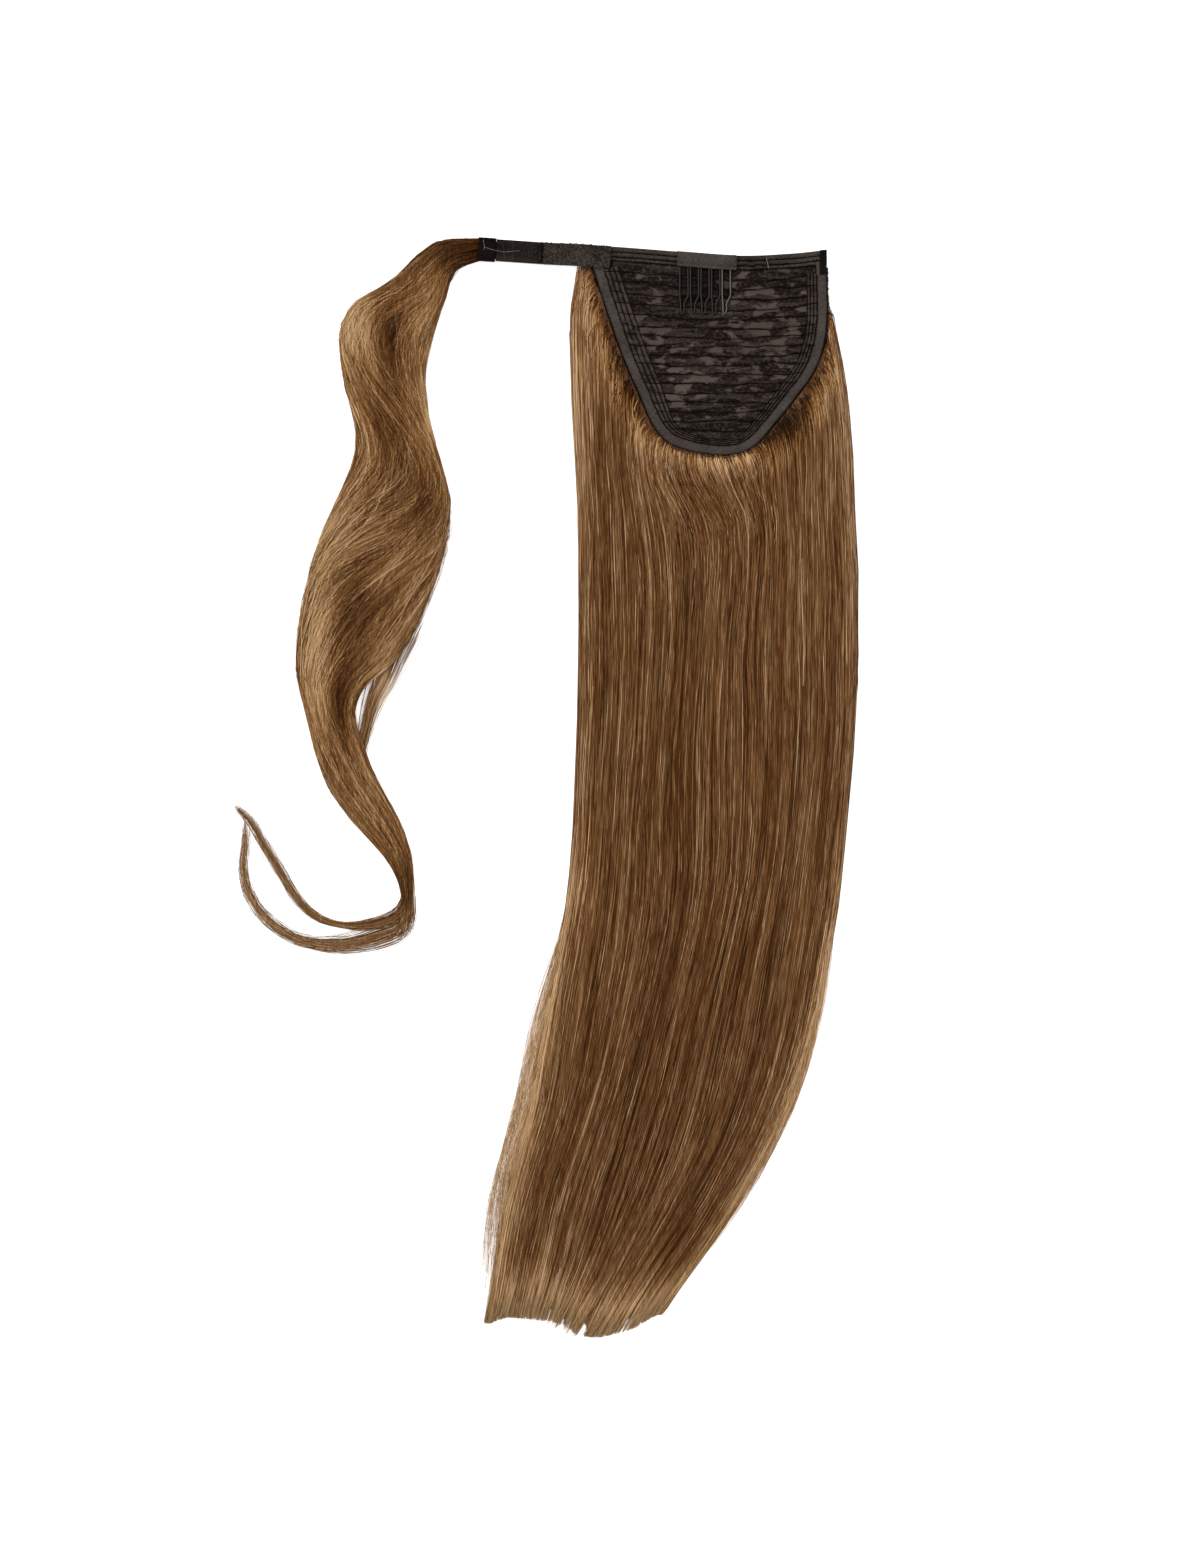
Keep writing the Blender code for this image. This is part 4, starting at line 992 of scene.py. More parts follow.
@dataclass
class Strands:
    """Thin tapered tubes, all with as many points, made as one mesh."""

    paths: Array
    radii: Array | float
    tones: Array | float = 0.0
    warmth: Array | float = 0.0
    sides: int = 3

    def distances(self) -> Array:
        """Distance of each point from its strand's root."""
        step = np.linalg.norm(np.diff(self.paths, axis=1), axis=2)
        return np.concatenate((np.zeros((len(step), 1)), np.cumsum(step, axis=1)), axis=1)

    def cut(self, start: Array, length: Array, points: int) -> "Strands":
        """Take a stretch out of each strand.

        Args:
            start: Where each stretch starts, from the strand's root.
            length: How long it is.
            points: How many points it gets.

        Returns:
            The stretches, tapered at both ends.
        """
        distance = self.distances()
        at = start[:, None] + length[:, None] * np.linspace(0.0, 1.0, points)
        at = np.minimum(at, distance[:, -1:] * np.linspace(0.985, 1.0, points))
        shape = distance.shape
        fields = [
            *np.moveaxis(self.paths, 2, 0), np.broadcast_to(self.radii, shape),
            np.broadcast_to(self.tones, shape), np.broadcast_to(self.warmth, shape),
        ]
        cut = [np.stack([np.interp(*row) for row in zip(at, distance, field)]) for field in fields]
        taper = np.interp(np.linspace(0.0, 1.0, points), (0.0, 0.2, 0.8, 1.0), (0.25, 1.0, 1.0, 0.25))
        return Strands(np.stack(cut[:3], axis=-1), cut[3] * taper, cut[4], cut[5], self.sides)

    def mesh(self, name: str, random: Random) -> Piece:
        """Build the closed tubes.

        Args:
            name: The object's name.
            random: Source of each strand's roll and streaks.

        Returns:
            The object, with tone, warm, strand and reach stored at each point.
        """
        count, points, _ = self.paths.shape
        along = np.gradient(self.paths, axis=1)
        along /= np.maximum(np.linalg.norm(along, axis=2, keepdims=True), 1e-12)
        side = np.cross(along, np.array((0.0, 0.0, 1.0)))
        length = np.linalg.norm(side, axis=2, keepdims=True)
        side = np.where(length > 1e-3, side / np.maximum(length, 1e-9), np.array((1.0, 0.0, 0.0)))
        rise = np.cross(side, along)
        roll = random.uniform(0.0, math.tau, (count, 1, 1))
        turn = roll - math.tau * np.arange(self.sides) / self.sides
        reach = np.broadcast_to(self.radii, (count, points))[..., None, None]
        ring = self.paths[:, :, None, :] + reach * (
            np.cos(turn)[..., None] * side[:, :, None, :] + np.sin(turn)[..., None] * rise[:, :, None, :]
        )
        ring[..., 2] = np.maximum(ring[..., 2], MESH_FLOOR)
        piece = self.surface(name, ring + LAYOUT)
        strand = random.uniform(0.0, 500.0, (count, 1))
        marks = {"tone": self.tones, "warm": self.warmth, "strand": strand, "reach": self.distances()}
        for mark, values in marks.items():
            wide = np.broadcast_to(values, (count, points))[:, :, None]
            put_mark(piece.data, mark, np.broadcast_to(wide, (count, points, self.sides)))
        return piece

    def surface(self, name: str, rings: Array) -> Piece:
        """Make an object from the rings of all strands.

        Args:
            name: The object's name.
            rings: Corners of each ring of each strand.

        Returns:
            The object.
        """
        count, points, sides, _ = rings.shape
        base = (np.arange(count) * points * sides)[:, None, None]
        ring = (np.arange(points - 1) * sides)[None, :, None]
        corner = np.arange(sides)[None, None, :]
        after = (corner + 1) % sides
        start = base + ring
        quads = np.stack((start + corner, start + after, start + sides + after, start + sides + corner), -1)
        quads = quads.reshape(-1, 4)
        first = base[:, 0] + np.arange(sides)[::-1]
        last = base[:, 0] + (points - 1) * sides + np.arange(sides)
        caps = np.concatenate((first, last))
        mesh = bpy.data.meshes.new(name)
        mesh.vertices.add(count * points * sides)
        mesh.vertices.foreach_set("co", np.ascontiguousarray(rings, np.float32).ravel())
        mesh.loops.add(quads.size + caps.size)
        mesh.loops.foreach_set("vertex_index", np.concatenate((quads.ravel(), caps.ravel())).astype(np.int32))
        mesh.polygons.add(len(quads) + len(caps))
        starts = np.concatenate((np.arange(len(quads)) * 4, quads.size + np.arange(len(caps)) * sides))
        mesh.polygons.foreach_set("loop_start", starts.astype(np.int32))
        mesh.polygons.foreach_set("use_smooth", np.ones(len(starts), bool))
        mesh.update(calc_edges=True)
        piece = bpy.data.objects.new(name, mesh)
        bpy.context.scene.collection.objects.link(piece)
        return piece


def hair_core(node: str, name: str, sink: float, reshape: Callable[[Array], Array]) -> Piece:
    """Copy a CAD hair solid, sunk a little so that strands can lie on it.

    Args:
        node: The CAD node.
        name: The new piece's name.
        sink: How far its surface goes in.
        reshape: Moves the sunk points of the layout where a tip ends early.

    Returns:
        The new piece.
    """
    deselect()
    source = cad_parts[node]
    piece = bpy.data.objects.new(name, source.data.copy())
    bpy.context.scene.collection.objects.link(piece)
    piece.select_set(True)
    bpy.context.view_layer.objects.active = piece
    mend(WELD)
    apply_modifier(piece, "DISPLACE", strength=-sink, mid_level=0.0)
    points = reshape(points_of(piece.data) - LAYOUT)
    points[:, 2] = np.maximum(points[:, 2], CORE_FLOOR)
    put_points(piece.data, points + LAYOUT)
    bpy.ops.object.shade_smooth_by_angle(angle=SOFT_ANGLE)
    return piece


class Side(Enum):
    """Parts of the fall, each with its own object of strands."""

    LEFT = (0.00, 0.36)
    MIDDLE = (0.36, 0.62)
    RIGHT = (0.62, 0.97)


@dataclass
class HairFall:
    """Long straight fall of hair that leaves the cap's rim and ends in a slanting edge."""

    strands: int = 1240
    root_points: int = 7
    length_points: int = 20
    clump_width: float = 0.9 * MM
    radius: float = 0.175 * MM
    streaks: int = 4250
    streak_points: int = 8
    under_strands: int = 620
    under_points: int = 16
    wisps: int = 210
    sink: float = 0.45 * MM
    core_short: float = 4.0 * MM
    tuck: float = 0.9 * MM
    slits: tuple[tuple[float, float], ...] = ((0.44, 0.010), (0.60, 0.022))
    sweep_rows: tuple[float, float] = (468.0, 528.0)
    wisp_rows: tuple[float, float] = (860.0, 1060.0)
    wisp_points: int = 18
    finish: HairFinish = HairFinish("fall_hair")

    def column_x(self, share: Array | float, y: Array) -> Array:
        """Where a column of the fall runs.

        Args:
            share: Share of the way from its left edge to its right one.
            y: Plan height.

        Returns:
            The column's x there.
        """
        down = (-y - FALL_START) / FALL_LENGTH
        left = FALL.read("left", down)
        right = FALL.read("right", down)
        wave = np.sin(math.tau * (FALL_WAVES * down + share)) * np.sin(math.pi * share)
        return mix(left, right, share) * FALL_WIDTH / 2.0 + FALL_SWAY * wave

    def tip_y(self, share: Array) -> Array:
        """Plan height at which a column ends.

        Args:
            share: The column's share of the fall's width.

        Returns:
            The height.
        """
        width = FALL_LOCKS.column("width")
        middles = (np.cumsum(width) - width / 2.0) / width.sum()
        short = np.interp(share, middles, FALL_LOCKS.column("short"))
        return -FALL_START - FALL_LENGTH + short * TIP_STEP

    def gathered(self, share: Array, y: Array) -> Array:
        """Share of a column after its hair has drawn together towards its lock's tip.

        Args:
            share: The column's share of the fall's width.
            y: Plan height.

        Returns:
            The new share, which leaves two slits open.
        """
        width = FALL_LOCKS.column("width")
        edges = np.concatenate(([0.0], np.cumsum(width))) / width.sum()
        lock = np.clip(np.searchsorted(edges, share) - 1, 0, len(width) - 1)
        middle = (edges[lock] + edges[lock + 1]) / 2.0
        near = ease((-y - FALL_START - 0.94 * FALL_LENGTH) / (0.06 * FALL_LENGTH))
        share = share + (middle - share) * 0.03 * near
        for slit, gap in self.slits:
            share = share + gap * np.sign(share - slit) * np.exp(-np.abs(share - slit) / 0.06) * near
        return share

    def drifted(self, share: Array, y: Array) -> Array:
        """Share of a column after the hair below the cap has swept to the right."""
        start, end = (from_photo(0.0, row)[1] for row in self.sweep_rows)
        return share + SWEEP.read("shift", share) * ease((start - y) / (start - end))

    def ripple(self, x: Array, y: Array) -> Array:
        """Sideways wave that neighbouring hair shares.

        Args:
            x: Places along X.
            y: Places along Y.

        Returns:
            How far each place moves along X.
        """
        phase = 3.0 * np.sin(x / (9.0 * MM)) + 2.0 * np.sin(x / (4.1 * MM) + 1.0)
        wave = 0.50 * np.sin(-y / (13.0 * MM) + phase) + 0.34 * np.sin(-y / (8.1 * MM) - 1.7 * phase)
        below = ease((-y - 60.0 * MM) / (60.0 * MM))
        return wave * MM * below * mix(1.0, 0.45, ease((-y - 0.2) / 0.2))

    def lanes(self, x: Array, y: Array) -> Array:
        """Paler and darker lanes that run down the hair."""
        across = (x - self.column_x(0.0, y)) / FALL_WIDTH
        wide = waver(across * 3.4 + 0.10 * np.sin(y / 0.05), 3.0, 0.08)
        return wide + waver(across * 11.0 + 0.3 * np.sin(y / 0.07), 6.0, 0.045)

    def end_tone_and_through_light(self, x: Array, y: Array) -> Array:
        """How much paler the hair is at its tips and along the edges of its lower half, from its own
        paler ends and from painted light shining through the thin hair there.

        Args:
            x: Places along X.
            y: Places along Y.

        Returns:
            What to add to the tone.
        """
        left = x - self.column_x(0.0, y)
        right = self.column_x(1.0, y) - x
        share = np.clip(left / np.maximum(left + right, 1.0 * MM), 0.0, 1.0)
        tip = 0.52 * (1.0 - ease((y - self.tip_y(share)) / (42.0 * MM)))
        low = ease((-y - 0.26) / 0.12)
        edges = 0.42 * np.exp(-((left / (8.5 * MM)) ** 2)) + 0.42 * np.exp(-((right / (5.0 * MM)) ** 2))
        return np.maximum(tip, edges * low)

    def root_shading_and_warmth(self, along: Array, distance: Array) -> tuple[Array, Array]:
        """Tone near the roots, as painted shade with darker roots and a painted highlight on the ridge, and
        warmth.

        Args:
            along: Each strand's place on the rim.
            distance: Distance of each of its points from the root.

        Returns:
            What to add to the tone, and the warmth.
        """
        names = ("dark", "length", "ridge_highlight", "warm")
        dark, length, ridge_highlight, warm = (ROOTS.read(name, along)[:, None] for name in names)
        reach = distance / MM
        # The ridge gets a painted highlight, and the roots get painted shade where the hair goes under the
        # rim, with darker roots
        tone = ridge_highlight * np.exp(-(((reach - length - 6.0) / 6.0) ** 2)) - dark * (1.0 - ease(reach / length))
        # Deepest painted shade right at the rim's edge
        tone = tone - 0.30 * (1.0 - ease(reach / 2.2))
        return tone, warm * (1.0 - ease((reach - length) / 16.0))

    def top_paths(self, side: Side, count: int, random: Random) -> Strands:
        """Strands of one part of the fall's upper face.

        Args:
            side: Which part of the rim they leave.
            count: How many.
            random: Source of their variation.

        Returns:
            The strands.
        """
        clumps = count // 5
        clump = random.integers(0, clumps, count)
        start, end = side.value
        along = np.sort(random.uniform(start, end, clumps))[clump]
        along = np.clip(along + random.normal(0.0, 0.25 * MM / RIM_CURVE.length, count), 0.001, 0.999)
        root, normal = RIM_CURVE.at(along)
        reach = ROOTS.read("reach", along) * MM * random.uniform(0.18, 1.0, clumps)[clump]
        reach = reach * random.uniform(0.93, 1.07, count)
        turn = root + normal * reach[:, None]
        low_y = np.minimum(turn[:, 1], -FALL_START - 2.0 * MM)
        left = self.column_x(0.0, low_y)
        right = self.column_x(1.0, low_y)
        spread = random.normal(0.0, 0.25 * self.clump_width, count) / (right - left)
        share = (turn[:, 0] - left) / (right - left)
        share = np.where(share < 0.012, random.uniform(0.001, 0.05, clumps)[clump], share)
        share = np.where(share > 0.988, random.uniform(0.955, 0.999, clumps)[clump], share)
        share = np.clip(share + spread, 0.0, 1.0)
        join_y = low_y - 1.5 * reach - random.uniform(5.0, 9.0, clumps)[clump] * MM
        join_x = self.column_x(self.drifted(share, join_y), join_y)
        bend_y = mix(join_y, low_y, 0.80)
        bend_x = self.column_x(self.drifted(share, bend_y), bend_y)
        hidden = root - normal * self.tuck
        lead = root + normal * (0.95 * reach)[:, None]
        step = np.linspace(0.0, 1.0, self.root_points + 1)[None, :-1, None]
        curve = (1.0 - step) ** 3 * hidden[:, None] + 3.0 * (1.0 - step) ** 2 * step * lead[:, None]
        curve = curve + 3.0 * (1.0 - step) * step**2 * np.stack((bend_x, bend_y), 1)[:, None]
        curve = curve + step**3 * np.stack((join_x, join_y), 1)[:, None]
        early = random.uniform(0.0, 1.0, count)
        short = np.where(early < 0.30, random.uniform(0.0, 52.0, count), random.exponential(1.4, count))
        end_y = self.tip_y(share) + short * MM
        pace = steps(self.length_points)
        fall_step = mix(ease(pace), pace, 0.45)
        y = mix(join_y[:, None], end_y[:, None], fall_step)
        share_y = self.gathered(self.drifted(share[:, None], y), y)
        seed = random.uniform(0.0, 10.0, clumps)[clump][:, None]
        own = random.uniform(0.0, 10.0, count)[:, None]
        wander = waver(-y / 0.19, seed, 0.5 * MM) + waver(-y / 0.24, own, 0.30 * MM)
        x = self.column_x(share_y, y)
        x = x + wander * ease(fall_step * 5.0) + self.ripple(x, y)
        inside = np.minimum(self.column_x(1.0, y) - x, x - self.column_x(0.0, y))
        x = np.where(inside < 0.0, x + 0.7 * inside * np.where(share[:, None] > 0.5, 1.0, -1.0), x)
        plan = np.concatenate((curve, np.stack((x, y), -1)), axis=1)
        lift = random.uniform(-0.20, 0.24, clumps)[clump] + random.uniform(-0.14, 0.16, count)
        depth = np.abs(random.normal(0.0, 0.45, count))
        weave = waver(-plan[..., 1] / 0.30, seed, 0.20 * MM)
        heights = self.heights(plan, lift[:, None] * MM + weave, depth)
        heights[:, 0] = bed(plan[:, 0, 0], plan[:, 0, 1]) - 0.1 * MM
        points = plan.shape[1]
        taper = np.interp(np.arange(points), (0, 2, points - 3, points - 1), (0.85, 1.0, 0.95, 0.7))
        radii = self.radius * random.uniform(0.75, 1.25, count)[:, None] * taper
        tone = random.normal(0.44, 0.075, clumps)[clump] + random.normal(0.0, 0.20, count)
        places = plan[..., 0], plan[..., 1]
        strands = Strands(stack(*places, heights), radii, tone[:, None])
        # Painted shade at the roots with darker roots, a painted highlight on the ridge, and warmth
        root_shading, strands.warmth = self.root_shading_and_warmth(along, strands.distances())
        # Paler tips and lower edges: partly the hair's own paler ends, partly painted light shining through
        # thin hair
        pale = self.end_tone_and_through_light(*places)
        # The regional spots add painted shade in hollows and painted highlight on ridges to the hair's own
        # tone and lanes
        strands.tones = strands.tones + root_shading + pale + regional_shade_and_tone(*places) + self.lanes(*places)
        strands.warmth = np.maximum(strands.warmth, 0.9 * pale)
        return strands

    def streak_paths(self, side: Side, random: Random) -> Strands:
        """Short stretches of hair that come up to the surface and go down again.

        Args:
            side: Which part of the rim their strands leave.
            random: Source of their variation.

        Returns:
            The stretches.
        """
        strands = self.top_paths(side, self.streaks, random)
        total = strands.distances()[:, -1]
        count = len(total)
        near = random.uniform(size=count) < 0.34
        length = np.where(near, random.uniform(22.0, 60.0, count), random.uniform(45.0, 130.0, count)) * MM
        high = random.uniform(0.0, 60.0, count) * MM
        start = np.where(near, high, random.uniform(0.0, 1.0, count) * (total - length))
        rooted = random.uniform(size=count) < 0.10
        start = np.where(rooted, 0.0, start)
        streaks = strands.cut(start, length, self.streak_points)
        arch = np.sin(math.pi * np.linspace(0.0, 1.0, self.streak_points)) ** 0.6
        rise = random.uniform(0.10, 0.50, count)[:, None] * MM
        dive = (arch - 1.0) * 0.45 * MM * np.where(rooted, 0.0, 1.0)[:, None]
        streaks.paths[..., 2] = np.maximum(streaks.paths[..., 2] + rise * arch + dive, STREAK_FLOOR)
        streaks.radii = streaks.radii * 0.85
        return streaks

    def heights(self, plan: Array, lift: Array, depth: Array) -> Array:
        """Heights of strands that lie on the fall, also down its sides.

        Args:
            plan: Plan points of each strand.
            lift: How far each point lies above the surface.
            depth: How far down each strand lies where it is at a side, from 0.

        Returns:
            The heights.
        """
        x, y = plan[..., 0], plan[..., 1]
        ground = FALL_GROUND.height(x, y, 1.0 * MM)
        inside = np.minimum(x - self.column_x(0.0, y), self.column_x(1.0, y) - x)
        near = 1.0 - ease(inside / (2.4 * MM))
        top = ground + lift
        sunk = mix(top, 0.4 * MM, np.clip(depth[:, None], 0.0, 1.0))
        level = mix(top, sunk, near)
        smooth = level.copy()
        smooth[:, 1:-1] = (level[:, :-2] + 2.0 * level[:, 1:-1] + level[:, 2:]) / 4.0
        return np.maximum(smooth, STRAND_FLOOR)

    def under_paths(self, random: Random) -> Strands:
        """Strands of the fall's flat underside.

        Args:
            random: Source of their variation.

        Returns:
            The strands.
        """
        count = self.under_strands
        share = np.sort(random.uniform(0.0, 1.0, count))
        end_y = self.tip_y(share) + random.exponential(7.0, count).clip(0.0, 48.0) * MM
        step = steps(self.under_points)
        y = mix(-FALL_START + 0.5 * MM, end_y[:, None], step)
        share_y = self.gathered(share[:, None], y)
        own = random.uniform(0.0, 10.0, count)[:, None]
        x = self.column_x(share_y, np.minimum(y, -FALL_START)) + waver(-y / 0.2, own, 0.6 * MM)
        z = np.broadcast_to(random.uniform(0.30, 0.75, count)[:, None] * MM, y.shape)
        taper = np.interp(step[0], (0.0, 0.85, 1.0), (1.0, 0.9, 0.3))
        radii = 0.34 * MM * random.uniform(0.7, 1.2, count)[:, None] * taper
        tone = random.normal(0.44, 0.16, count)[:, None]
        # Paler tips and edges, partly painted light through thin hair, and painted shade and highlight from
        # the regional spots
        return Strands(stack(x, y, z), radii, tone + self.end_tone_and_through_light(x, y) + regional_shade_and_tone(x, y))

    def wisp_paths(self, left: bool, count: int, out: float, random: Random) -> Strands:
        """Loose hairs beside one edge of the fall's lower half.

        Args:
            left: Whether they lie beside the left edge.
            count: How many.
            out: How far out the farthest ones reach.
            random: Source of their variation.

        Returns:
            The strands.
        """
        step = steps(self.wisp_points)
        start = from_photo(0.0, random.uniform(*self.wisp_rows, count))[1][:, None]
        lowest = 1312.0 if left else 1255.0
        end = from_photo(0.0, random.uniform(lowest - 120.0, lowest, count))[1][:, None]
        y = mix(start, end, step)
        inner = random.uniform(1.0, 7.0, count)[:, None] * MM
        reach = random.uniform(-0.3, 1.0, count)[:, None] * out + inner
        bow = np.sin(math.pi * np.clip(step * random.uniform(0.60, 0.98, count)[:, None], 0.0, 1.0))
        drift = waver(step * 0.8, random.uniform(0.0, 10.0, count)[:, None], 0.8 * MM) * step
        away = reach * bow - inner + drift
        edge = self.column_x(0.0 if left else 1.0, y)
        x = edge - away if left else edge + away
        lift = random.uniform(0.15, 0.45, count)[:, None] * MM
        z = self.heights(stack(x, y), lift, np.zeros(count))
        radii = 0.12 * MM * mix(1.0, 0.45, step)
        tone = random.normal(0.86, 0.1, count)[:, None]
        return Strands(stack(x, y, z), radii, tone, 0.25)

    def core_points(self, points: Array) -> Array:
        """Draw the core's tip back under the strands.

        Args:
            points: The core's layout points.

        Returns:
            The moved points.
        """
        near = ease((-points[:, 1] - FALL_START - 0.88 * FALL_LENGTH) / (0.12 * FALL_LENGTH))
        moved = points.copy()
        moved[:, 0] += 0.36 * self.core_short * near
        moved[:, 1] += 0.93 * self.core_short * near
        moved[:, 2] *= 1.0 - 0.5 * near
        return moved

    def build(self) -> None:
        """Build and dress the fall."""
        core = hair_core("hair_fall", "fall_core", self.sink, self.core_points)
        points = points_of(core.data) - LAYOUT
        # The core is paler under the tips and lower edges, partly painted light shining through thin hair
        put_mark(core.data, "pale", np.clip(2.2 * self.end_tone_and_through_light(points[:, 0], points[:, 1]), 0.0, 1.0))
        dress(core, CoreFinish("packed_hair"), ["hair_fall"])
        for index, side in enumerate(Side):
            random = np.random.default_rng(11 + index)
            part = side.name.lower()
            long = self.top_paths(side, self.strands, random)
            dress(long.mesh(f"fall_strands_{part}", random), self.finish)
            dress(self.streak_paths(side, random).mesh(f"fall_streaks_{part}", random), self.finish)
        random = np.random.default_rng(31)
        dress(self.under_paths(random).mesh("fall_underside", random), self.finish)
        for left, count, out in ((True, self.wisps, 8.5 * MM), (False, self.wisps // 2, 2.6 * MM)):
            name = f"fall_wisps_{'left' if left else 'right'}"
            dress(self.wisp_paths(left, count, out, random).mesh(name, random), self.finish)


def strap_edge(distance: Array) -> Array:
    """Plan point on the strap's top edge at a distance from the band's end."""
    x = -CAP_WIDTH / 2.0 + STRAP_ROOT - FIT_GAP
    away = np.array((-math.cos(STRAP_TURN), math.sin(STRAP_TURN)))
    return np.array((x, float(top_line(x)))) + np.asarray(distance)[..., None] * away


STRAP_UP = np.array((math.sin(STRAP_TURN), math.cos(STRAP_TURN)))


def lock_origin() -> Array:
    """Plan point in the middle of the strap's end, where the wrap lock starts."""
    return strap_edge(STRAP_LENGTH) - STRAP_UP * STRAP_WIDTH / 2.0


def lock_place(left: Array, down: Array) -> Array:
    """Plan points given as shares of the wrap lock's width and length."""
    origin = lock_origin()
    return np.stack((origin[0] - left * LOCK_WIDTH, origin[1] - down * LOCK_LENGTH), axis=-1)


@dataclass
class WrapLock:
    """Wavy lock of hair that leaves the strap's bound end and thins into two tails."""

    strands: int = 1080
    points: int = 27
    radius: float = 0.17 * MM
    streaks: int = 3200
    streak_points: int = 8
    tail_strands: int = 130
    side_strands: int = 100
    thin_points: int = 24
    line_points: int = 80
    strays: int = 42
    sink: float = 1.3 * MM
    finish: HairFinish = HairFinish("lock_hair")

    def body_paths(self, random: Random, count: int, shell: tuple[float, float]) -> Strands:
        """Strands that run round and along the lock's body.

        Args:
            random: Source of their variation.
            count: How many.
            shell: Least and greatest distance from the lock's middle, as a share.

        Returns:
            The strands.
        """
        clumps = max(8, count // 6)
        clump = random.integers(0, clumps, count)
        last = len(WRAP_LOCK.rows) - 1
        first = np.where(random.uniform(size=count) < 0.82, 0.0, random.uniform(0.0, 3.0, count))
        whole = random.uniform(size=count) < 0.55
        final = last - np.where(whole, random.uniform(0.0, 1.6, count), random.uniform(0.0, 9.0, count))
        step = steps(self.points)
        station = mix(first[:, None], final[:, None], step)
        outer = lock_place(WRAP_LOCK.read("outer_x", station), WRAP_LOCK.read("outer_y", station))
        inner = lock_place(WRAP_LOCK.read("inner_x", station), WRAP_LOCK.read("inner_y", station))
        height = WRAP_LOCK.read("height", station) * LOCK_HEIGHT
        seed = random.uniform(0.0, 10.0, clumps)[clump][:, None]
        own = random.uniform(0.0, 10.0, count)[:, None]
        angle = random.uniform(0.0, 1.0, clumps)[clump][:, None] + random.normal(0.0, 0.008, count)[:, None]
        angle = angle + WRAP_LOCK.read("turn", station) * random.uniform(0.4, 1.6, clumps)[clump][:, None]
        angle = angle + waver(station / 14.0, seed, 0.045) + waver(station / 9.0, own, 0.014)
        reach = random.uniform(*shell, clumps)[clump][:, None] + waver(station / 11.0, own, 0.022)
        across = np.cos(math.tau * angle)
        across = np.sign(across) * np.abs(across) ** 0.85 * reach
        rise = np.sin(math.tau * angle)
        rise = np.sign(rise) * np.abs(rise) ** 0.75 * reach
        plan = (outer + inner) / 2.0 + (outer - inner) / 2.0 * across[..., None]
        z = STRAND_FLOOR + (height - 0.2 * MM) * (0.5 + 0.5 * rise)
        taper = np.interp(step, (0.0, 0.9, 1.0), (1.0, 0.9, 0.3))
        radii = self.radius * random.uniform(0.75, 1.3, count)[:, None] * taper
        tone = random.normal(0.60, 0.12, clumps)[clump] + random.normal(0.0, 0.14, count)
        places = plan[..., 0], plan[..., 1]
        strands = Strands(stack(*places, z), radii)
        # The regional spots add painted shade and painted highlight to the lock's own tone
        strands.tones = tone[:, None] + regional_shade_and_tone(*places) - 0.34 * (1.0 - ease((station - 0.6) / 3.0))
        strands.warmth = np.clip(0.40 + waver(strands.distances() / 0.22, seed, 0.35), 0.0, 0.8)
        return strands

    def streak_paths(self, random: Random) -> Strands:
        """Short stretches of hair on the lock's surface.

        Args:
            random: Source of their variation.

        Returns:
            The stretches.
        """
        strands = self.body_paths(random, self.streaks, (0.97, 1.03))
        total = strands.distances()[:, -1]
        length = random.uniform(30.0, 90.0, len(total)) * MM
        start = random.uniform(0.0, 1.0, len(total)) * (total - length)
        streaks = strands.cut(start, length, self.streak_points)
        arch = np.sin(math.pi * np.linspace(0.0, 1.0, self.streak_points)) ** 0.6
        streaks.paths[..., 2] = np.maximum(streaks.paths[..., 2] + (arch - 0.8) * 0.3 * MM, STREAK_FLOOR)
        streaks.radii = streaks.radii * 0.85
        return streaks

    def thin_paths(
        self, line: Table, count: int, spread: float, random: Random, loose: float
    ) -> Strands:
        """Strands of a thin lock along its centre line.

        Args:
            line: The centre line and its spread.
            count: How many strands.
            spread: Half width of the lock at a spread of 1.
            random: Source of their variation.
            loose: How far the strands part from each other towards the tip.

        Returns:
            The strands.
        """
        centre = smooth_path(lock_place(line.column("left"), line.column("down")), self.line_points)
        normal = path_normals(centre)
        keys = np.linspace(0.0, 1.0, self.line_points)
        stations = np.linspace(0.0, 1.0, len(line.rows))
        first = random.uniform(0.0, 0.12, count)[:, None]
        final = 1.0 - random.exponential(0.10, count).clip(0.0, 0.6)[:, None]
        step = steps(self.thin_points)
        along = mix(first, final, step)
        own = random.uniform(0.0, 10.0, count)[:, None]
        width = hermite(stations, line.column("spread"), along) * spread
        offset = random.normal(0.0, 0.42, count)[:, None].clip(-1.0, 1.0)
        offset = offset * width + waver(along * 1.3, own, loose) * along
        x = np.interp(along, keys, centre[:, 0]) + np.interp(along, keys, normal[:, 0]) * offset
        y = np.interp(along, keys, centre[:, 1]) + np.interp(along, keys, normal[:, 1]) * offset
        level = random.uniform(0.25, 1.0, count)[:, None]
        z = STRAND_FLOOR + level * mix(2.2, 1.2, along) * MM
        radii = self.radius * mix(0.95, 0.45, along) * random.uniform(0.7, 1.2, count)[:, None]
        tone = random.normal(0.54, 0.14, count)[:, None] + 0.14 * along
        # The regional spots add painted shade and painted highlight to the thin locks' own tone
        return Strands(stack(x, y, z), radii, tone + regional_shade_and_tone(x, y))

    def core_points(self, points: Array) -> Array:
        """Sink the thin locks into the lock's neck, where only strands are to show.

        Args:
            points: The core's layout points.

        Returns:
            The moved points.
        """
        moved = points.copy()
        x, y = points[:, 0], points[:, 1]
        beside = lock_place(0.66, 0.78)
        tail = (y < lock_place(0.0, 0.895)[1]) | ((x < beside[0]) & (y < beside[1]))
        neck = np.array((*lock_place(0.30, 0.88), 1.5 * MM))
        moved[tail] = mix(points[tail], neck, np.array((0.995, 0.995, 0.7)))
        return moved

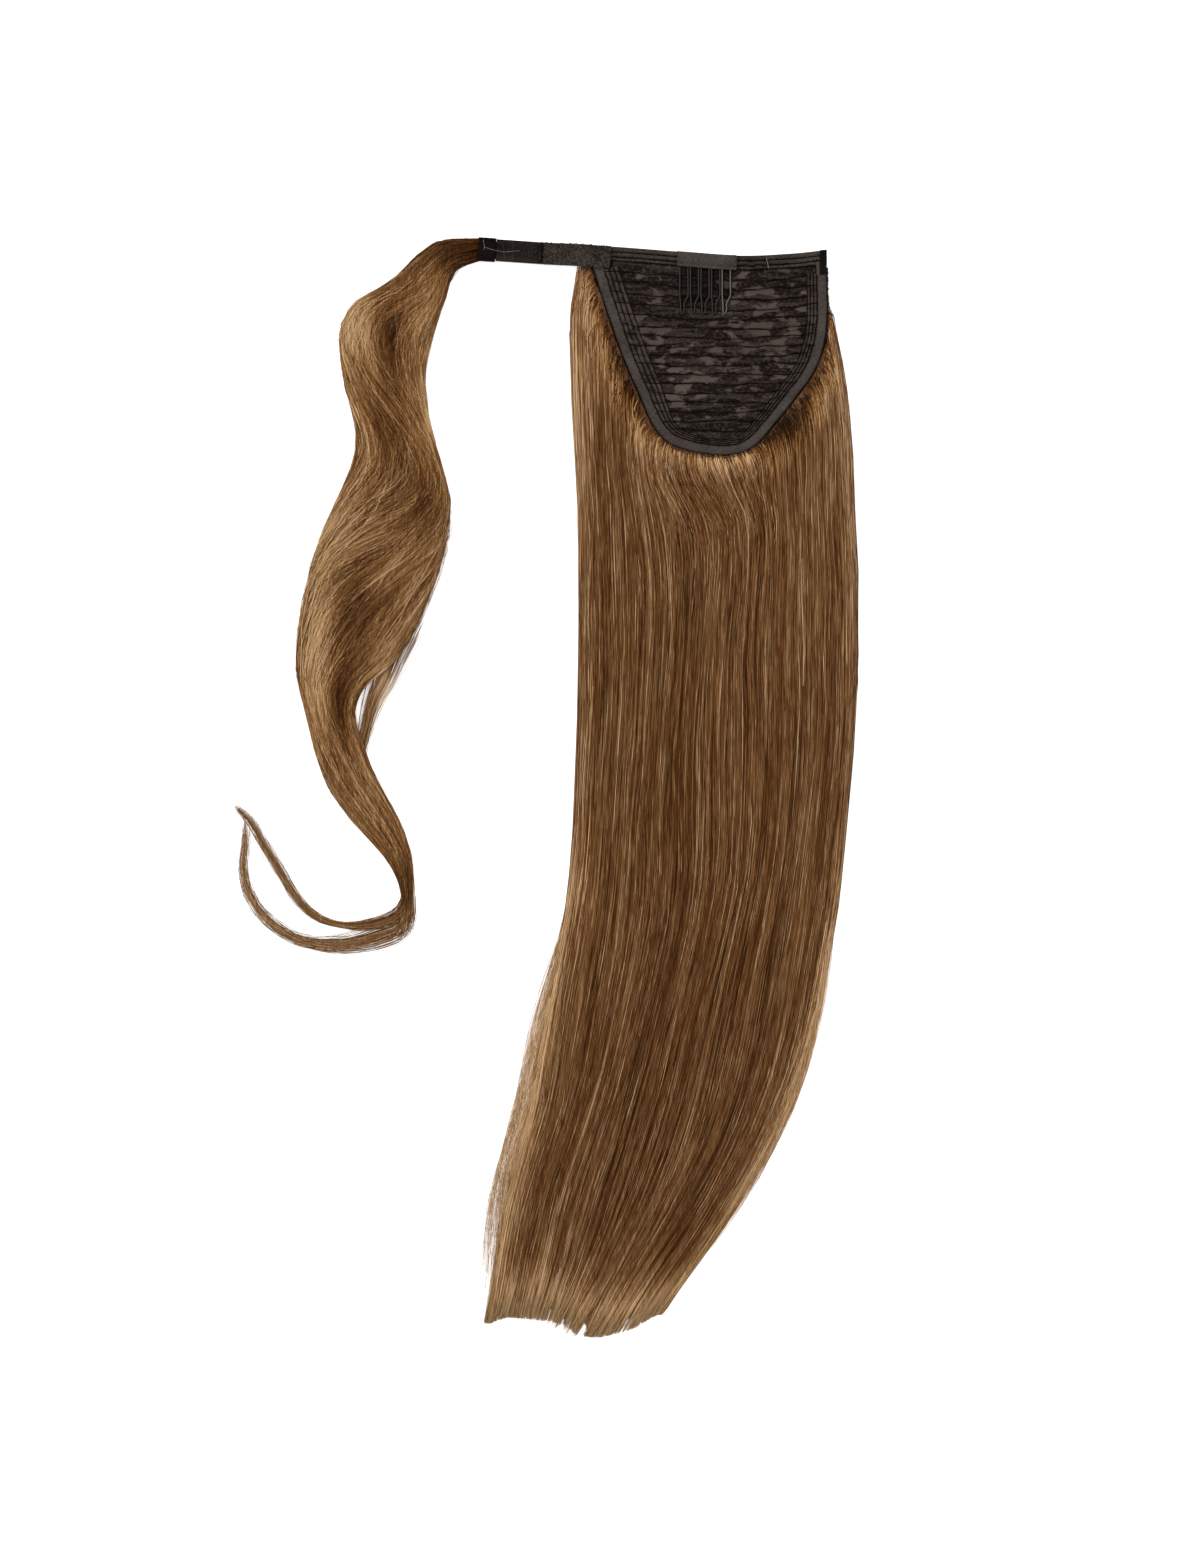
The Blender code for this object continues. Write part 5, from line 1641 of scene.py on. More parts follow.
    def build(self) -> None:
        """Build and dress the lock, its side lock and its tails."""
        random = np.random.default_rng(51)
        core = hair_core("wrap_lock", "lock_core", self.sink, self.core_points)
        packed = CoreFinish("packed_lock", tint(52, 29, 12), tint(106, 72, 42))
        dress(core, packed, ["wrap_lock"])
        piece = self.body_paths(random, self.strands, (0.84, 1.02)).mesh("lock_strands", random)
        dress(piece, self.finish)
        dress(self.streak_paths(random).mesh("lock_streaks", random), self.finish)
        strays = self.body_paths(random, self.strays, (0.98, 1.07))
        strays.radii = strays.radii * 0.6
        dress(strays.mesh("lock_strays", random), self.finish)
        tails = (
            ("tail_upper", UPPER_TAIL, self.tail_strands, 2.6 * MM, 1.6 * MM),
            ("tail_lower", LOWER_TAIL, self.tail_strands, 2.8 * MM, 1.8 * MM),
            ("lock_side_hair", SIDE_LOCK, self.side_strands, 3.6 * MM, 0.8 * MM),
        )
        for name, line, count, spread, loose in tails:
            lock = self.thin_paths(line, count, spread, random, loose)
            dress(lock.mesh(name, random), self.finish)


def weft_line(row: float, x: Array) -> Array:
    """Plan height of the boundary above one row of weft, counted down from the band.

    Args:
        row: The row, or a place between two.
        x: Places along X.

    Returns:
        The boundary's y at each.
    """
    across = np.asarray(x) / (CAP_WIDTH / 2.0)
    depth = row * WEFT_PITCH / CAP_DEPTH
    sag = WEFT_SAG * ease(3.0 * depth) * (1.0 - across * across) * (1.0 - depth)
    follow = top_line(x) * (1.0 - ease(2.0 * depth))
    return follow - BAND_WIDTH - FIT_GAP - row * WEFT_PITCH - sag


def seam_waver(row: int, x: Array) -> Array:
    """How far one seam between wefts strays from its even line."""
    return waver(x / 0.075, 1.7 * row, 0.95 * MM) + waver(x / 0.021, 2.9 * row, 0.30 * MM)


@dataclass
class Cap:
    """Net cap with its wefts, bound rim, band, comb and stitching."""

    weft_columns: int = 130
    weft_rows: int = 7
    weft_height: float = 1.45 * MM
    rim_stations: int = 220
    band_stations: int = 120
    root_spikes: int = 620
    seam_points: int = 170
    groove_points: int = 200
    line_points: int = 240
    root_points: int = 320
    wire_radius: float = 0.45 * MM
    comb_teeth: int = 5
    comb_offset: float = -1.6 * MM
    tooth_pitch: float = 5.5 * MM
    tooth_gap: float = 4.2 * MM
    tip_gap: float = 1.7 * MM
    tooth_length: float = 27.5 * MM
    tooth_lean: float = -0.8 * MM
    tape_length: float = 30.7 * MM
    tape_width: float = 7.8 * MM
    tape_offset: float = -0.8 * MM
    net_area: float = 0.0095
    rib_inset: float = 5.3 * MM
    heavy_roots: float = 0.31
    profile: Table = Table(("share", "level"), (
        (0.0, 0.30), (0.12, 0.75), (0.40, 0.86), (0.70, 1.0), (0.90, 0.95), (1.0, 0.45),
    ))
    rib_width: Table = Table(("along", "width"), (
        (0.00, 7.2), (0.30, 7.0), (0.38, 5.0), (0.45, 3.2), (0.56, 3.2), (0.62, 4.0), (0.80, 5.0),
        (1.00, 5.0),
    ))

    def boundary(self, row: float, x: Array) -> Array:
        """Wavering plan height of the seam above one row of weft.

        Args:
            row: The row, or a place between two.
            x: Places along X.

        Returns:
            The seam's y at each.
        """
        whole = int(row)
        below = weft_line(row, x)
        stray = mix(seam_waver(whole, x) * (whole > 0), seam_waver(whole + 1, x), row - whole)
        return below + stray

    def weft_top(self, row: int, share: Array, x: Array, y: Array) -> Array:
        """Height of a weft's upper face, where share runs from its upper seam to its lower one."""
        ripple = waver(x / 0.012, 0.7 * row, 0.10 * MM) + waver(x / 0.05, 2.3 * row, 0.14 * MM)
        level = self.profile.read("level", share) * self.weft_height + ripple * np.sin(math.pi * share)
        return bed(x, y) + SEWN_LOW + level

    def weft(self, row: int) -> Piece | None:
        """One row of weft.

        Args:
            row: Its number from the band down.

        Returns:
            The piece, or None below the last row.
        """
        inset = BINDING_REACH + 0.1 * MM
        upper = RIM_CURVE.span(lambda x: weft_line(row, x), inset)
        lower = RIM_CURVE.span(lambda x: weft_line(row + 1, x), inset)
        if upper is None or lower is None or lower[1] - lower[0] < 2.0 * WEFT_PITCH:
            return None
        root = -CAP_WIDTH / 2.0 + STRAP_ROOT
        beside = float(weft_line(row, root)) > float(top_line(root)) - STRAP_WIDTH - FIT_GAP
        left = root + FIT_GAP if beside else -CAP_WIDTH

        def place(u: Array, v: Array) -> Array:
            """Points of the weft's upper face."""
            x = mix(mix(max(upper[0], left), upper[1], u), mix(max(lower[0], left), lower[1], u), v)
            y = mix(self.boundary(row, x) - 0.10 * MM, self.boundary(row + 1, x) + 0.10 * MM, v)
            return stack(x, y, self.weft_top(row, v, x, y))

        piece = grid_sheet(f"sewn_weft_{row + 1:02d}", self.weft_columns, self.weft_rows, place)
        points = points_of(piece.data) - LAYOUT
        x = points[:, 0]
        high = self.boundary(row, x)
        depth = (high - points[:, 1]) / (high - self.boundary(row + 1, x))
        fade = 0.75 + 0.5 * waver(x / 0.02, 3.1 * row)
        # Painted shade along the weft's upper and lower seams where the rows meet, and painted shadow below
        # the comb
        groove = ((1.0 - ease(depth / 0.22)) + 0.9 * ease((depth - 0.86) / 0.14)) * fade
        groove = np.maximum(groove, self.comb_shade(x, points[:, 1]))
        put_mark(piece.data, "groove", np.clip(groove, 0.0, 1.0))
        put_mark(piece.data, "patch", 0.5 + 0.5 * waver(x / 0.03, 1.3 * row))
        apply_modifier(piece, "SOLIDIFY", thickness=0.35 * MM, offset=-1.0)
        bpy.ops.object.shade_smooth_by_angle(angle=SOFT_ANGLE)
        return piece

    def comb_shade(self, x: Array, y: Array) -> Array:
        """How much painted shadow of the comb falls on the wefts below its wires and inside its teeth.

        Args:
            x: Places along X.
            y: Places along Y.

        Returns:
            The shade, from 0 to 1.
        """
        tooth = (x - self.comb_offset) / self.tooth_pitch
        beside = np.abs(tooth - np.clip(np.rint(tooth), -2.0, 2.0)) * self.tooth_pitch
        down = -y - self.tape_width
        inside = (1.0 - ease((beside - 0.42 * self.tooth_gap) / (1.3 * MM))) * ease(down / (1.0 * MM) + 0.5)
        return 0.50 * inside * (1.0 - ease((down - 0.72 * self.tooth_length) / (3.0 * MM)))

    def build_wefts(self) -> int:
        """Build and dress every row of weft.

        Returns:
            How many rows there are.
        """
        row = 0
        while (piece := self.weft(row)) is not None:
            row += 1
            dress(piece, WeftFinish("weft_hair"), [f"weft_{row:02d}"])
        return row

    def build_seams(self, rows: int) -> None:
        """Dark sunken seams between the wefts, over the ribs at both ends, made thick and black to carry
        painted shade in the grooves between the rows as well.

        Args:
            rows: How many rows of weft there are.
        """
        random = np.random.default_rng(70)
        paths, radii = [], []
        for row in range(1, rows + 1):
            span = RIM_CURVE.span(lambda x: weft_line(row, x), BINDING_REACH + 0.2 * MM)
            if span is None:
                continue
            x = np.linspace(*span, self.seam_points)
            y = self.boundary(row, x)
            near = 1.0 - ease((np.minimum(x - span[0], span[1] - x) - 6.0 * MM) / (2.0 * MM))
            level = mix(SEWN_LOW + 0.80 * MM + waver(x / 0.03, 1.1 * row, 0.24 * MM), 4.72 * MM, near)
            paths.append(stack(x, y, bed(x, y) + level))
            thick = 0.60 + waver(x / 0.045, 4.3 * row, 0.24) + waver(x / 0.011, 5.9 * row, 0.12)
            radii.append(np.clip(thick, 0.16, 0.85) * mix(1.0, 0.5, near) * MM)
        seams = Strands(np.array(paths), np.array(radii), sides=5)
        dress(seams.mesh("weft_seams_and_shade", random), Cloth.DARK)

    def build_ticks(self, rows: int) -> None:
        """Runs of upright machine stitches and zigzags on the wefts.

        Args:
            rows: How many rows of weft there are.
        """
        random = np.random.default_rng(71)
        bars = {Cloth.TICKS: [], Cloth.DARK: []}
        for row in range(rows):
            span = RIM_CURVE.span(lambda x: weft_line(row + 0.5, x), BINDING_REACH + 7.5 * MM)
            if span is None:
                continue
            for run in range(6):
                start = random.uniform(span[0], span[1] - 8.0 * MM)
                end = min(span[1], start + random.uniform(9.0, 34.0) * MM)
                x = np.arange(start, end, 1.12 * MM)
                x = x + random.normal(0.0, 0.06 * MM, len(x))
                low = random.uniform(0.16, 0.36)
                shares = np.array((low, low + 0.20, low + random.uniform(0.36, 0.50)))[None, :]
                upright = run % 3 < 2
                lean = (0.08 if upright else 0.50) * MM * np.where(np.arange(len(x)) % 2 == 0, 1.0, -1.0)
                bx = x[:, None] + lean[:, None] * np.array((-1.0, 0.0, 1.0))
                by = mix(self.boundary(row, bx), self.boundary(row + 1, bx), shares)
                bz = self.weft_top(row, shares, bx, by) + np.array((-0.02, 0.09, -0.02)) * MM
                bars[Cloth.TICKS if upright else Cloth.DARK].append(stack(bx, by, bz))
        for finish, name in ((Cloth.TICKS, "weft_ticks"), (Cloth.DARK, "weft_zigzags")):
            dress(self.sewing(np.concatenate(bars[finish]), name, 0.23 * MM, random), finish)

    def sewing(self, paths: Array, name: str, radius: float, random: Random) -> Piece:
        """Make short stitches of thread along paths of three points."""
        return Strands(paths, radius * np.array((0.6, 1.0, 0.6)), sides=4).mesh(name, random)

    def rim_place(self, share: Array, inset: Array, level: Array) -> Array:
        """Layout points beside the rim, above the bed.

        Args:
            share: Places along the rim.
            inset: How far inside it.
            level: How far above the bed.

        Returns:
            The points.
        """
        place, normal = RIM_CURVE.at(share)
        point = place - normal * np.asarray(inset)[..., None]
        x, y = point[..., 0], point[..., 1]
        return stack(x, y, bed(x, y) + level)

    def build_rim(self) -> None:
        """Fold the satin tape round the rim, and sew the ribs inside it."""
        section = (
            (5.5, 3.75), (5.3, 3.98), (4.2, 4.05), (2.6, 4.10), (1.2, 4.05), (0.5, 3.75), (0.1, 3.1),
            (0.0, 2.2), (0.15, 1.2), (0.7, 0.5), (1.6, 0.3), (5.5, 0.3), (5.5, 1.3), (1.4, 1.35),
            (1.1, 2.1), (1.4, 2.9), (5.5, 2.9),
        )

        def lay(u: Array, inset: Array, level: Array) -> Array:
            """Points of the folded tape."""
            share = mix(0.035, 0.985, u)
            pucker = 0.10 * MM * waver(share * 26.0, 4.0) * (level > 3.0)
            return self.rim_place(share, inset * MM + waver(share * 9.0, 2.0, 0.14 * MM), level * MM + pucker)

        tape = section_sweep("rim_tape", self.rim_stations, section, lay)
        dress(tape, Cloth.SATIN, ["edge_binding"])
        ribs = ((0.00, 4.30), (0.05, 4.68), (0.16, 4.86), (0.27, 4.68), (0.32, 4.42))
        section = tuple((inset + shift, level) for shift in (0.0, 0.34, 0.68) for inset, level in ribs)
        section += ((1.0, 3.7), (0.0, 3.7))

        def lay_ribs(u: Array, inset: Array, level: Array) -> Array:
            """Points of the ribbed strip."""
            share = mix(0.050, 0.950, u)
            wide = self.rib_width.read("width", share) * MM
            stray = waver(share * 22.0, 7.0, 0.14 * MM)
            ripple = 0.10 * waver(share * 70.0, 1.0) * (level > 4.5)
            return self.rim_place(share, self.rib_inset + inset * wide + stray, (level + ripple) * MM)

        dress(section_sweep("rim_ribs", self.rim_stations, section, lay_ribs), Cloth.RIBS)
        self.build_rim_lines()

    def build_rim_lines(self) -> None:
        """Dark seam lines between the ribs, and the dark roots outside the rim."""
        random = np.random.default_rng(72)
        share = np.linspace(0.052, 0.948, self.line_points)
        wide = self.rib_width.read("width", share) * MM
        paths, radii = [], []
        for index, inset in enumerate((0.0, 0.33, 0.67, 1.0)):
            stray = waver(share * 22.0, 7.0, 0.14 * MM) + waver(share * 60.0, 3.0 * index, 0.10 * MM)
            paths.append(self.rim_place(share, self.rib_inset + inset * wide + stray, 4.60 * MM))
            radii.append(np.clip(0.36 + waver(share * 35.0, 2.0 * index, 0.16), 0.14, 0.55) * MM)
        lines = Strands(np.array(paths), np.array(radii), sides=4)
        dress(lines.mesh("rim_seam_lines", random), Cloth.DARK)
        share = np.linspace(0.04, 0.962, self.root_points)
        heavy = np.exp(-(((share - self.heavy_roots) / 0.075) ** 2))
        thick = (0.55 + 1.00 * heavy + waver(share * 60.0, 1.0, 0.14) * (0.6 + heavy)) * MM
        path = self.rim_place(share, 0.35 * MM - thick, 2.9 * MM)
        roots = Strands(path[None], thick, sides=6)
        dress(roots.mesh("rim_root_line", random), Cloth.BLACK)
        dense = random.uniform(0.06, 0.40, self.root_spikes * 6 // 10)
        along = np.sort(np.concatenate((dense, random.uniform(0.40, 0.95, self.root_spikes * 4 // 10))))
        heavy = np.exp(-(((along - self.heavy_roots) / 0.09) ** 2))
        length = random.uniform(0.5, 1.5, len(along)) * (1.0 + 1.1 * heavy)
        step = steps(4)
        out = (0.2 + length[:, None] * step) * MM
        slide = random.normal(0.0, 0.0035, len(along))[:, None] * step
        level = mix(3.1, 1.9, step) * MM + random.uniform(-0.3, 0.3, len(along))[:, None] * MM
        place = self.rim_place(along[:, None] + slide, -out, level)
        spikes = Strands(place, np.array((0.17, 0.15, 0.11, 0.05)) * MM)
        dress(spikes.mesh("rim_root_hairs", random), Cloth.BLACK)

    def build_band(self) -> None:
        """Ribbed band over the straight edge, with dark cords in its grooves as painted shade, and the
        fold at its right corner.
        """
        section = (
            (0.0, 4.1), (0.3, 4.6), (1.2, 4.85), (2.1, 4.7), (2.5, 4.15), (2.9, 4.15), (3.2, 4.6),
            (4.0, 4.75), (4.7, 4.5), (5.0, 3.8), (5.4, 3.6), (6.2, 3.85), (6.9, 3.8), (7.2, 3.3),
            (7.2, 2.9), (1.2, 2.9), (1.0, 2.1), (1.2, 1.35), (4.5, 1.3), (4.5, 0.3), (0.8, 0.35),
            (0.1, 1.2), (-0.1, 2.6),
        )
        start = -CAP_WIDTH / 2.0 + STRAP_ROOT - 0.5 * MM
        end = CAP_WIDTH / 2.0

        def stray(x: Array, inset: Array) -> Array:
            """How far the lower rib wavers, in millimetres."""
            scallop = np.exp(-(((x - 24.0 * MM) / (9.0 * MM)) ** 2)) * 0.45 * np.sin(x / (1.1 * MM))
            return ease((inset - 2.4) / 1.2) * (waver(x / 0.03, 1.0, 0.16) + scallop * (inset < 6.0))

        def lay(u: Array, inset: Array, level: Array) -> Array:
            """Points of the folded band."""
            x = mix(start, end, u)
            bumps = 0.10 * waver(x / 0.006, 6.0) * (level > 3.5)
            y = top_line(x) - (inset + stray(x, inset) * (level > 3.0)) * MM
            return stack(x, y, BED_AT_BAND + (level + bumps) * MM)

        tape = section_sweep("band_tape", self.band_stations, section, lay)
        dress(tape, Cloth.WEB, ["top_band"])
        random = np.random.default_rng(73)
        # Dark cords laid in the band's grooves as painted shade
        x = np.linspace(start + 0.5 * MM, end - 0.5 * MM, self.groove_points)
        paths, radii = [], []
        lines = ((2.7, 4.30, 0.30), (5.15, 3.95, 0.42), (7.15, 3.6, 0.45))
        for index, (inset, level, thick) in enumerate(lines):
            y = top_line(x) - (inset + stray(x, inset)) * MM
            paths.append(stack(x, y, BED_AT_BAND + level * MM))
            radii.append(np.clip(thick + waver(x / 0.02, 3.0 * index, 0.13), 0.12, 0.6) * MM)
        grooves = Strands(np.array(paths), np.array(radii), sides=5)
        dress(grooves.mesh("band_groove_shade", random), Cloth.DARK)
        corner = (
            (0.0, 4.5), (0.2, 5.0), (1.4, 5.2), (1.9, 4.8), (2.3, 5.15), (3.4, 5.1), (3.8, 4.6), (3.8, 4.4),
            (0.2, 4.2),
        )

        def lay_corner(u: Array, inset: Array, level: Array) -> Array:
            """Points of the upright fold at the band's right end."""
            x = end - inset * MM
            y = top_line(x) - mix(-0.2, 12.5, u) * MM
            drop = 0.4 * MM * ease((u - 0.55) / 0.1)
            return stack(x, y, bed(x, y) + level * MM - drop)

        # The upright fold is black as painted shade in the fold
        dress(section_sweep("corner_fold_shade", 14, corner, lay_corner), Cloth.BLACK)

    def build_comb(self) -> None:
        """Satin tape with its hem, and the bent wire comb below it."""
        section = (
            (0.2, 8.0), (0.0, 8.6), (0.0, 9.6), (0.3, 10.1), (1.2, 10.2), (3.4, 10.25), (5.6, 10.2),
            (5.9, 9.85), (6.15, 9.85), (6.4, 10.15), (7.2, 10.15), (7.7, 9.95), (7.8, 9.5), (7.7, 9.25),
            (6.0, 9.2), (1.1, 9.2), (1.0, 8.0),
        )
        middle = self.tape_offset

        def lay(u: Array, inset: Array, level: Array) -> Array:
            """Points of the comb's tape."""
            x = middle + (u - 0.5) * self.tape_length
            swell = 0.08 * waver(x / 0.01, 3.0) * (level > 9.8)
            return stack(x, top_line(x) - inset * MM, (level + swell) * MM)

        dress(section_sweep("comb_cover", 44, section, lay), Cloth.SATIN, ["comb_tape"])
        top = float(top_line(self.comb_offset)) - self.tape_width / 2.0
        down = TOOTH.column("down")
        fine = np.linspace(0.0, down[-1], 14)
        closing = TOOTH.read("closing", fine)
        path = []
        for tooth in range(self.comb_teeth):
            centre = self.comb_offset + (tooth - (self.comb_teeth - 1) / 2.0) * self.tooth_pitch
            half = mix(self.tooth_gap, self.tip_gap, closing) / 2.0
            lean = centre + self.tooth_lean * closing
            y = top - fine * self.tooth_length
            left = np.stack((lean - half, y, fine), 1)
            right = np.stack((lean + half, y, fine), 1)[::-1]
            turn = np.linspace(0.0, math.pi, 7)[1:-1]
            tip = np.stack((
                lean[-1] - half[-1] * np.cos(turn), y[-1] - half[-1] * np.sin(turn), np.full(5, 1.0)
            ), 1)
            path.append(np.concatenate((left, tip, right)))
            if tooth < self.comb_teeth - 1:
                bend = centre + self.tooth_pitch / 2.0
                width = (self.tooth_pitch - self.tooth_gap) / 2.0
                arc = np.linspace(0.0, math.pi, 5)[1:-1]
                path.append(np.stack((bend - width * np.cos(arc), top + width * np.sin(arc), np.zeros(3)), 1))
        wire = np.concatenate(path)
        base = BED_AT_BAND + BAND_HIGH + FIT_GAP + self.wire_radius
        rise = float(bed(self.comb_offset, top - self.tooth_length) - bed(self.comb_offset, top))
        wire[:, 2] = base + rise * wire[:, 2] + 0.25 * MM * np.sin(math.pi * wire[:, 2])
        piece = thread("comb_wire", wire, self.wire_radius, 8)
        # Painted highlight on the wire's sides that face up and to the left, toward the key light, strongest
        # on the rightmost tooth
        facing = np.array([tuple(vertex.normal) for vertex in piece.data.vertices])
        across = (points_of(piece.data)[:, 0] - LAYOUT[0] - self.comb_offset) / self.tooth_pitch
        highlight_strength = mix(0.13, 0.60, ease((across - 1.4) / 0.2))
        lit = ease(1.3 * (0.62 * facing[:, 2] - 0.78 * facing[:, 0]) - 0.35) * highlight_strength
        put_mark(piece.data, "lit", lit)
        dress(piece, WireFinish(), ["comb"])

    def build_threads(self) -> None:
        """Pale thread across the band and the comb tape's corner stitches."""
        x, y = from_photo(np.array((766.0, 766.6, 767.6, 768.2)), np.array((259.0, 263.0, 266.5, 270.0)))
        path = smooth_path(stack(x, y, BED_AT_BAND + np.array((4.7, 5.05, 5.0, 4.0)) * MM), 12)
        dress(thread("band_pale_thread", path, 0.16 * MM, 6), Cloth.PALE)
        stitch = np.array(((-0.25, 0.0, 10.15), (0.0, -0.1, 10.42), (0.25, -0.2, 10.15))) * MM
        bars = []
        for side in (-0.5, 0.5):
            x = self.tape_offset + side * (self.tape_length - 1.2 * MM)
            for step in range(6):
                y = float(top_line(x)) - (0.6 + 0.95 * step) * MM
                bars.append(stitch + (x, y, 0.0))
        sewn = self.sewing(np.array(bars), "comb_cover_stitches", 0.14 * MM, np.random.default_rng(75))
        dress(sewn, Cloth.DARK)

    def build(self) -> None:
        """Build and dress the cap."""
        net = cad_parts["cap_base"]
        net.data.materials.clear()
        net.data.materials.append(material_of(Cloth.NET))
        rows = self.build_wefts()
        self.build_seams(rows)
        self.build_ticks(rows)
        self.build_rim()
        self.build_band()
        self.build_comb()
        self.build_threads()


@dataclass
class Strap:
    """Strap with its loop and hook tape and its bound end."""

    loops: int = 1500
    loop_height: float = 0.75 * MM
    pile_radius: float = 0.13 * MM
    hook_ribs: int = 30
    hook_rows: int = 14
    thread_radius: float = 0.42 * MM
    turns: int = 11
    tape_level: float = 4.0 * MM

    def lay(self, distance: Array, inset: Array, level: Array) -> Array:
        """Layout points on the strap.

        Args:
            distance: From the band's end along the strap.
            inset: Down from its top edge.
            level: Height above the surface below it.

        Returns:
            The points.
        """
        edge = strap_edge(distance)
        plan = edge - STRAP_UP * np.asarray(inset)[..., None]
        return stack(plan[..., 0], plan[..., 1], level)

    def build_pile(self) -> None:
        """Fuzz of small loops on the loop tape."""
        random = np.random.default_rng(81)
        count = self.loops
        distance = random.uniform(0.0002, HOOK_START - 0.0006, count)
        inset = random.uniform(-0.0001, STRAP_WIDTH + 0.0001, count)
        heading = random.uniform(0.0, math.tau, count)
        reach = random.uniform(0.35, 0.75, count) * MM
        arc = np.linspace(0.0, math.pi, 5)[None, :]
        swing = np.cos(arc) * reach[:, None]
        d = distance[:, None] + swing * np.cos(heading)[:, None]
        i = inset[:, None] + swing * np.sin(heading)[:, None]
        base = self.lay(np.clip(d, 0.0, HOOK_START), i, 0.0)
        inside = self.lay(distance, np.clip(inset, FIT_GAP, STRAP_WIDTH - FIT_GAP), 0.0)
        ground = PILE_GROUND.height(inside[:, 0], inside[:, 1], self.tape_level)
        tall = random.uniform(0.4, 1.0, count)[:, None] * self.loop_height
        base[..., 2] = ground[:, None] - 0.1 * MM + np.sin(arc) * tall
        dress(Strands(base, self.pile_radius).mesh("loop_fuzz", random), Cloth.FUZZ)

    def build_hooks(self) -> None:
        """Fine ribs with rows of hooks on the hook tape."""
        start = HOOK_START + 0.3 * MM
        end = STRAP_LENGTH - END_WRAP_LENGTH - 0.5 * MM
        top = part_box("hook_tape")[1].z

        def place(u: Array, v: Array) -> Array:
            """Points of the ribbed face."""
            distance = mix(start, end, u)
            rib = 0.5 + 0.5 * np.cos(math.tau * self.hook_ribs * u)
            edge = np.minimum(1.0, 12.0 * np.minimum(v, 1.0 - v))
            level = top + (0.08 + 0.30 * rib * edge) * MM
            return self.lay(distance, mix(0.25 * MM, STRAP_WIDTH - 0.25 * MM, v), level)

        piece = grid_sheet("hook_ribs", self.hook_ribs * 4, 8, place)
        apply_modifier(piece, "SOLIDIFY", thickness=0.25 * MM, offset=-1.0)
        bpy.ops.object.shade_smooth_by_angle(angle=SOFT_ANGLE)
        dress(piece, Cloth.HOOKS)
        random = np.random.default_rng(83)
        grid = np.meshgrid(np.arange(self.hook_ribs), np.arange(self.hook_rows))
        rib, row = (numbers.ravel() for numbers in grid)
        distance = mix(start, end, (rib + 0.02) / self.hook_ribs) + random.normal(0.0, 0.04, len(rib)) * MM
        share = (row + random.uniform(0.3, 0.7, len(row))) / self.hook_rows
        inset = mix(0.7 * MM, STRAP_WIDTH - 0.7 * MM, share)
        lean = random.choice((-1.0, 1.0), len(rib))
        stem = ((0.0, 0.0), (0.02, 0.30), (0.16, 0.46), (0.32, 0.34))
        paths = np.stack([
            self.lay(distance, inset + lean * out * MM, top + (0.30 + rise) * MM)
            for out, rise in stem
        ], axis=1)
        # The hooks are paler than the ribs as painted highlight on the ribbed hook tape
        hooks = Strands(paths, np.array((0.13, 0.13, 0.11, 0.06)) * MM)
        dress(hooks.mesh("hooks", random), Cloth.TICKS)

    def build_end(self) -> None:
        """Black thread wound round the strap's end, with pale thread and its loose tail."""
        start = STRAP_LENGTH - END_WRAP_LENGTH + 0.2 * MM
        low, high = (corner.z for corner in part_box("strap_end_wrap"))
        step = np.linspace(0.0, 1.0, self.turns * 22)
        angle = math.tau * self.turns * step
        across = np.sign(np.cos(angle)) * np.abs(np.cos(angle)) ** 0.55
        rise = np.sign(np.sin(angle)) * np.abs(np.sin(angle)) ** 0.55
        half = STRAP_WIDTH / 2.0 + 0.30 * MM
        tall = (high - low) / 2.0 - 0.1 * MM
        distance = mix(start, STRAP_LENGTH + 0.1 * MM, step)
        path = self.lay(distance, STRAP_WIDTH / 2.0 - half * across, low + tall + 0.45 * MM + tall * rise)
        path[:, 2] = np.maximum(path[:, 2], self.thread_radius + MESH_FLOOR)
        dress(thread("end_winding", path, self.thread_radius, 6), Cloth.BLACK)
        top = float(path[:, 2].max()) + self.thread_radius
        x, y = from_photo(
            np.array((483.5, 484.0, 484.6, 484.2, 485.0, 491.0, 498.0, 504.0, 512.0, 520.0)),
            np.array((240.5, 244.0, 248.0, 251.0, 248.6, 250.4, 251.8, 253.0, 252.4, 251.6)),
        )
        z = np.array((-0.3, 0.1, 0.25, 0.2, 0.45, 0.2, 0.3, 0.2, 0.2, 0.1)) * MM + top
        z[5:] -= np.linspace(0.2, 0.5, 5) * MM
        dress(thread("end_pale_thread", smooth_path(stack(x, y, z), 60), 0.09 * MM, 6), Cloth.PALE)

    def build_seams(self) -> None:
        """Seams and zigzag specks across the strap."""
        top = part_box("hook_tape")[1].z + 0.42 * MM
        seams = []
        for pixel, lean in ((504.0, 0.4), (513.0, -0.3)):
            x, y = from_photo(np.linspace(pixel - lean, pixel + lean, 8), np.linspace(245.0, 260.0, 8))
            seams.append(thread("seam", stack(x, y, top), 0.12 * MM, 4))
        dress(join("hook_seams", seams), Cloth.SATIN)
        random = np.random.default_rng(87)
        bars = []
        for step in range(26):
            distance = HOOK_START - (0.8 + 0.12 * (step % 3)) * MM
            inset = (0.5 + 0.40 * step) * MM
            back = 1.6 if step % 2 else 1.1
            first = self.lay(distance, inset, 0.0)
            second = self.lay(distance - back * MM, inset + 0.3 * MM, 0.0)
            ground = float(PILE_GROUND.height(first[0], first[1], self.tape_level)) + 0.5 * MM
            first[2] = second[2] = ground
            middle = (first + second) / 2.0 + np.array((0.0, 0.0, 0.35 * MM))
            bars.append((first, middle, second))
        zigzag = Strands(np.array(bars), 0.15 * MM, sides=4)
        dress(zigzag.mesh("tape_zigzag", random), Cloth.DARK)

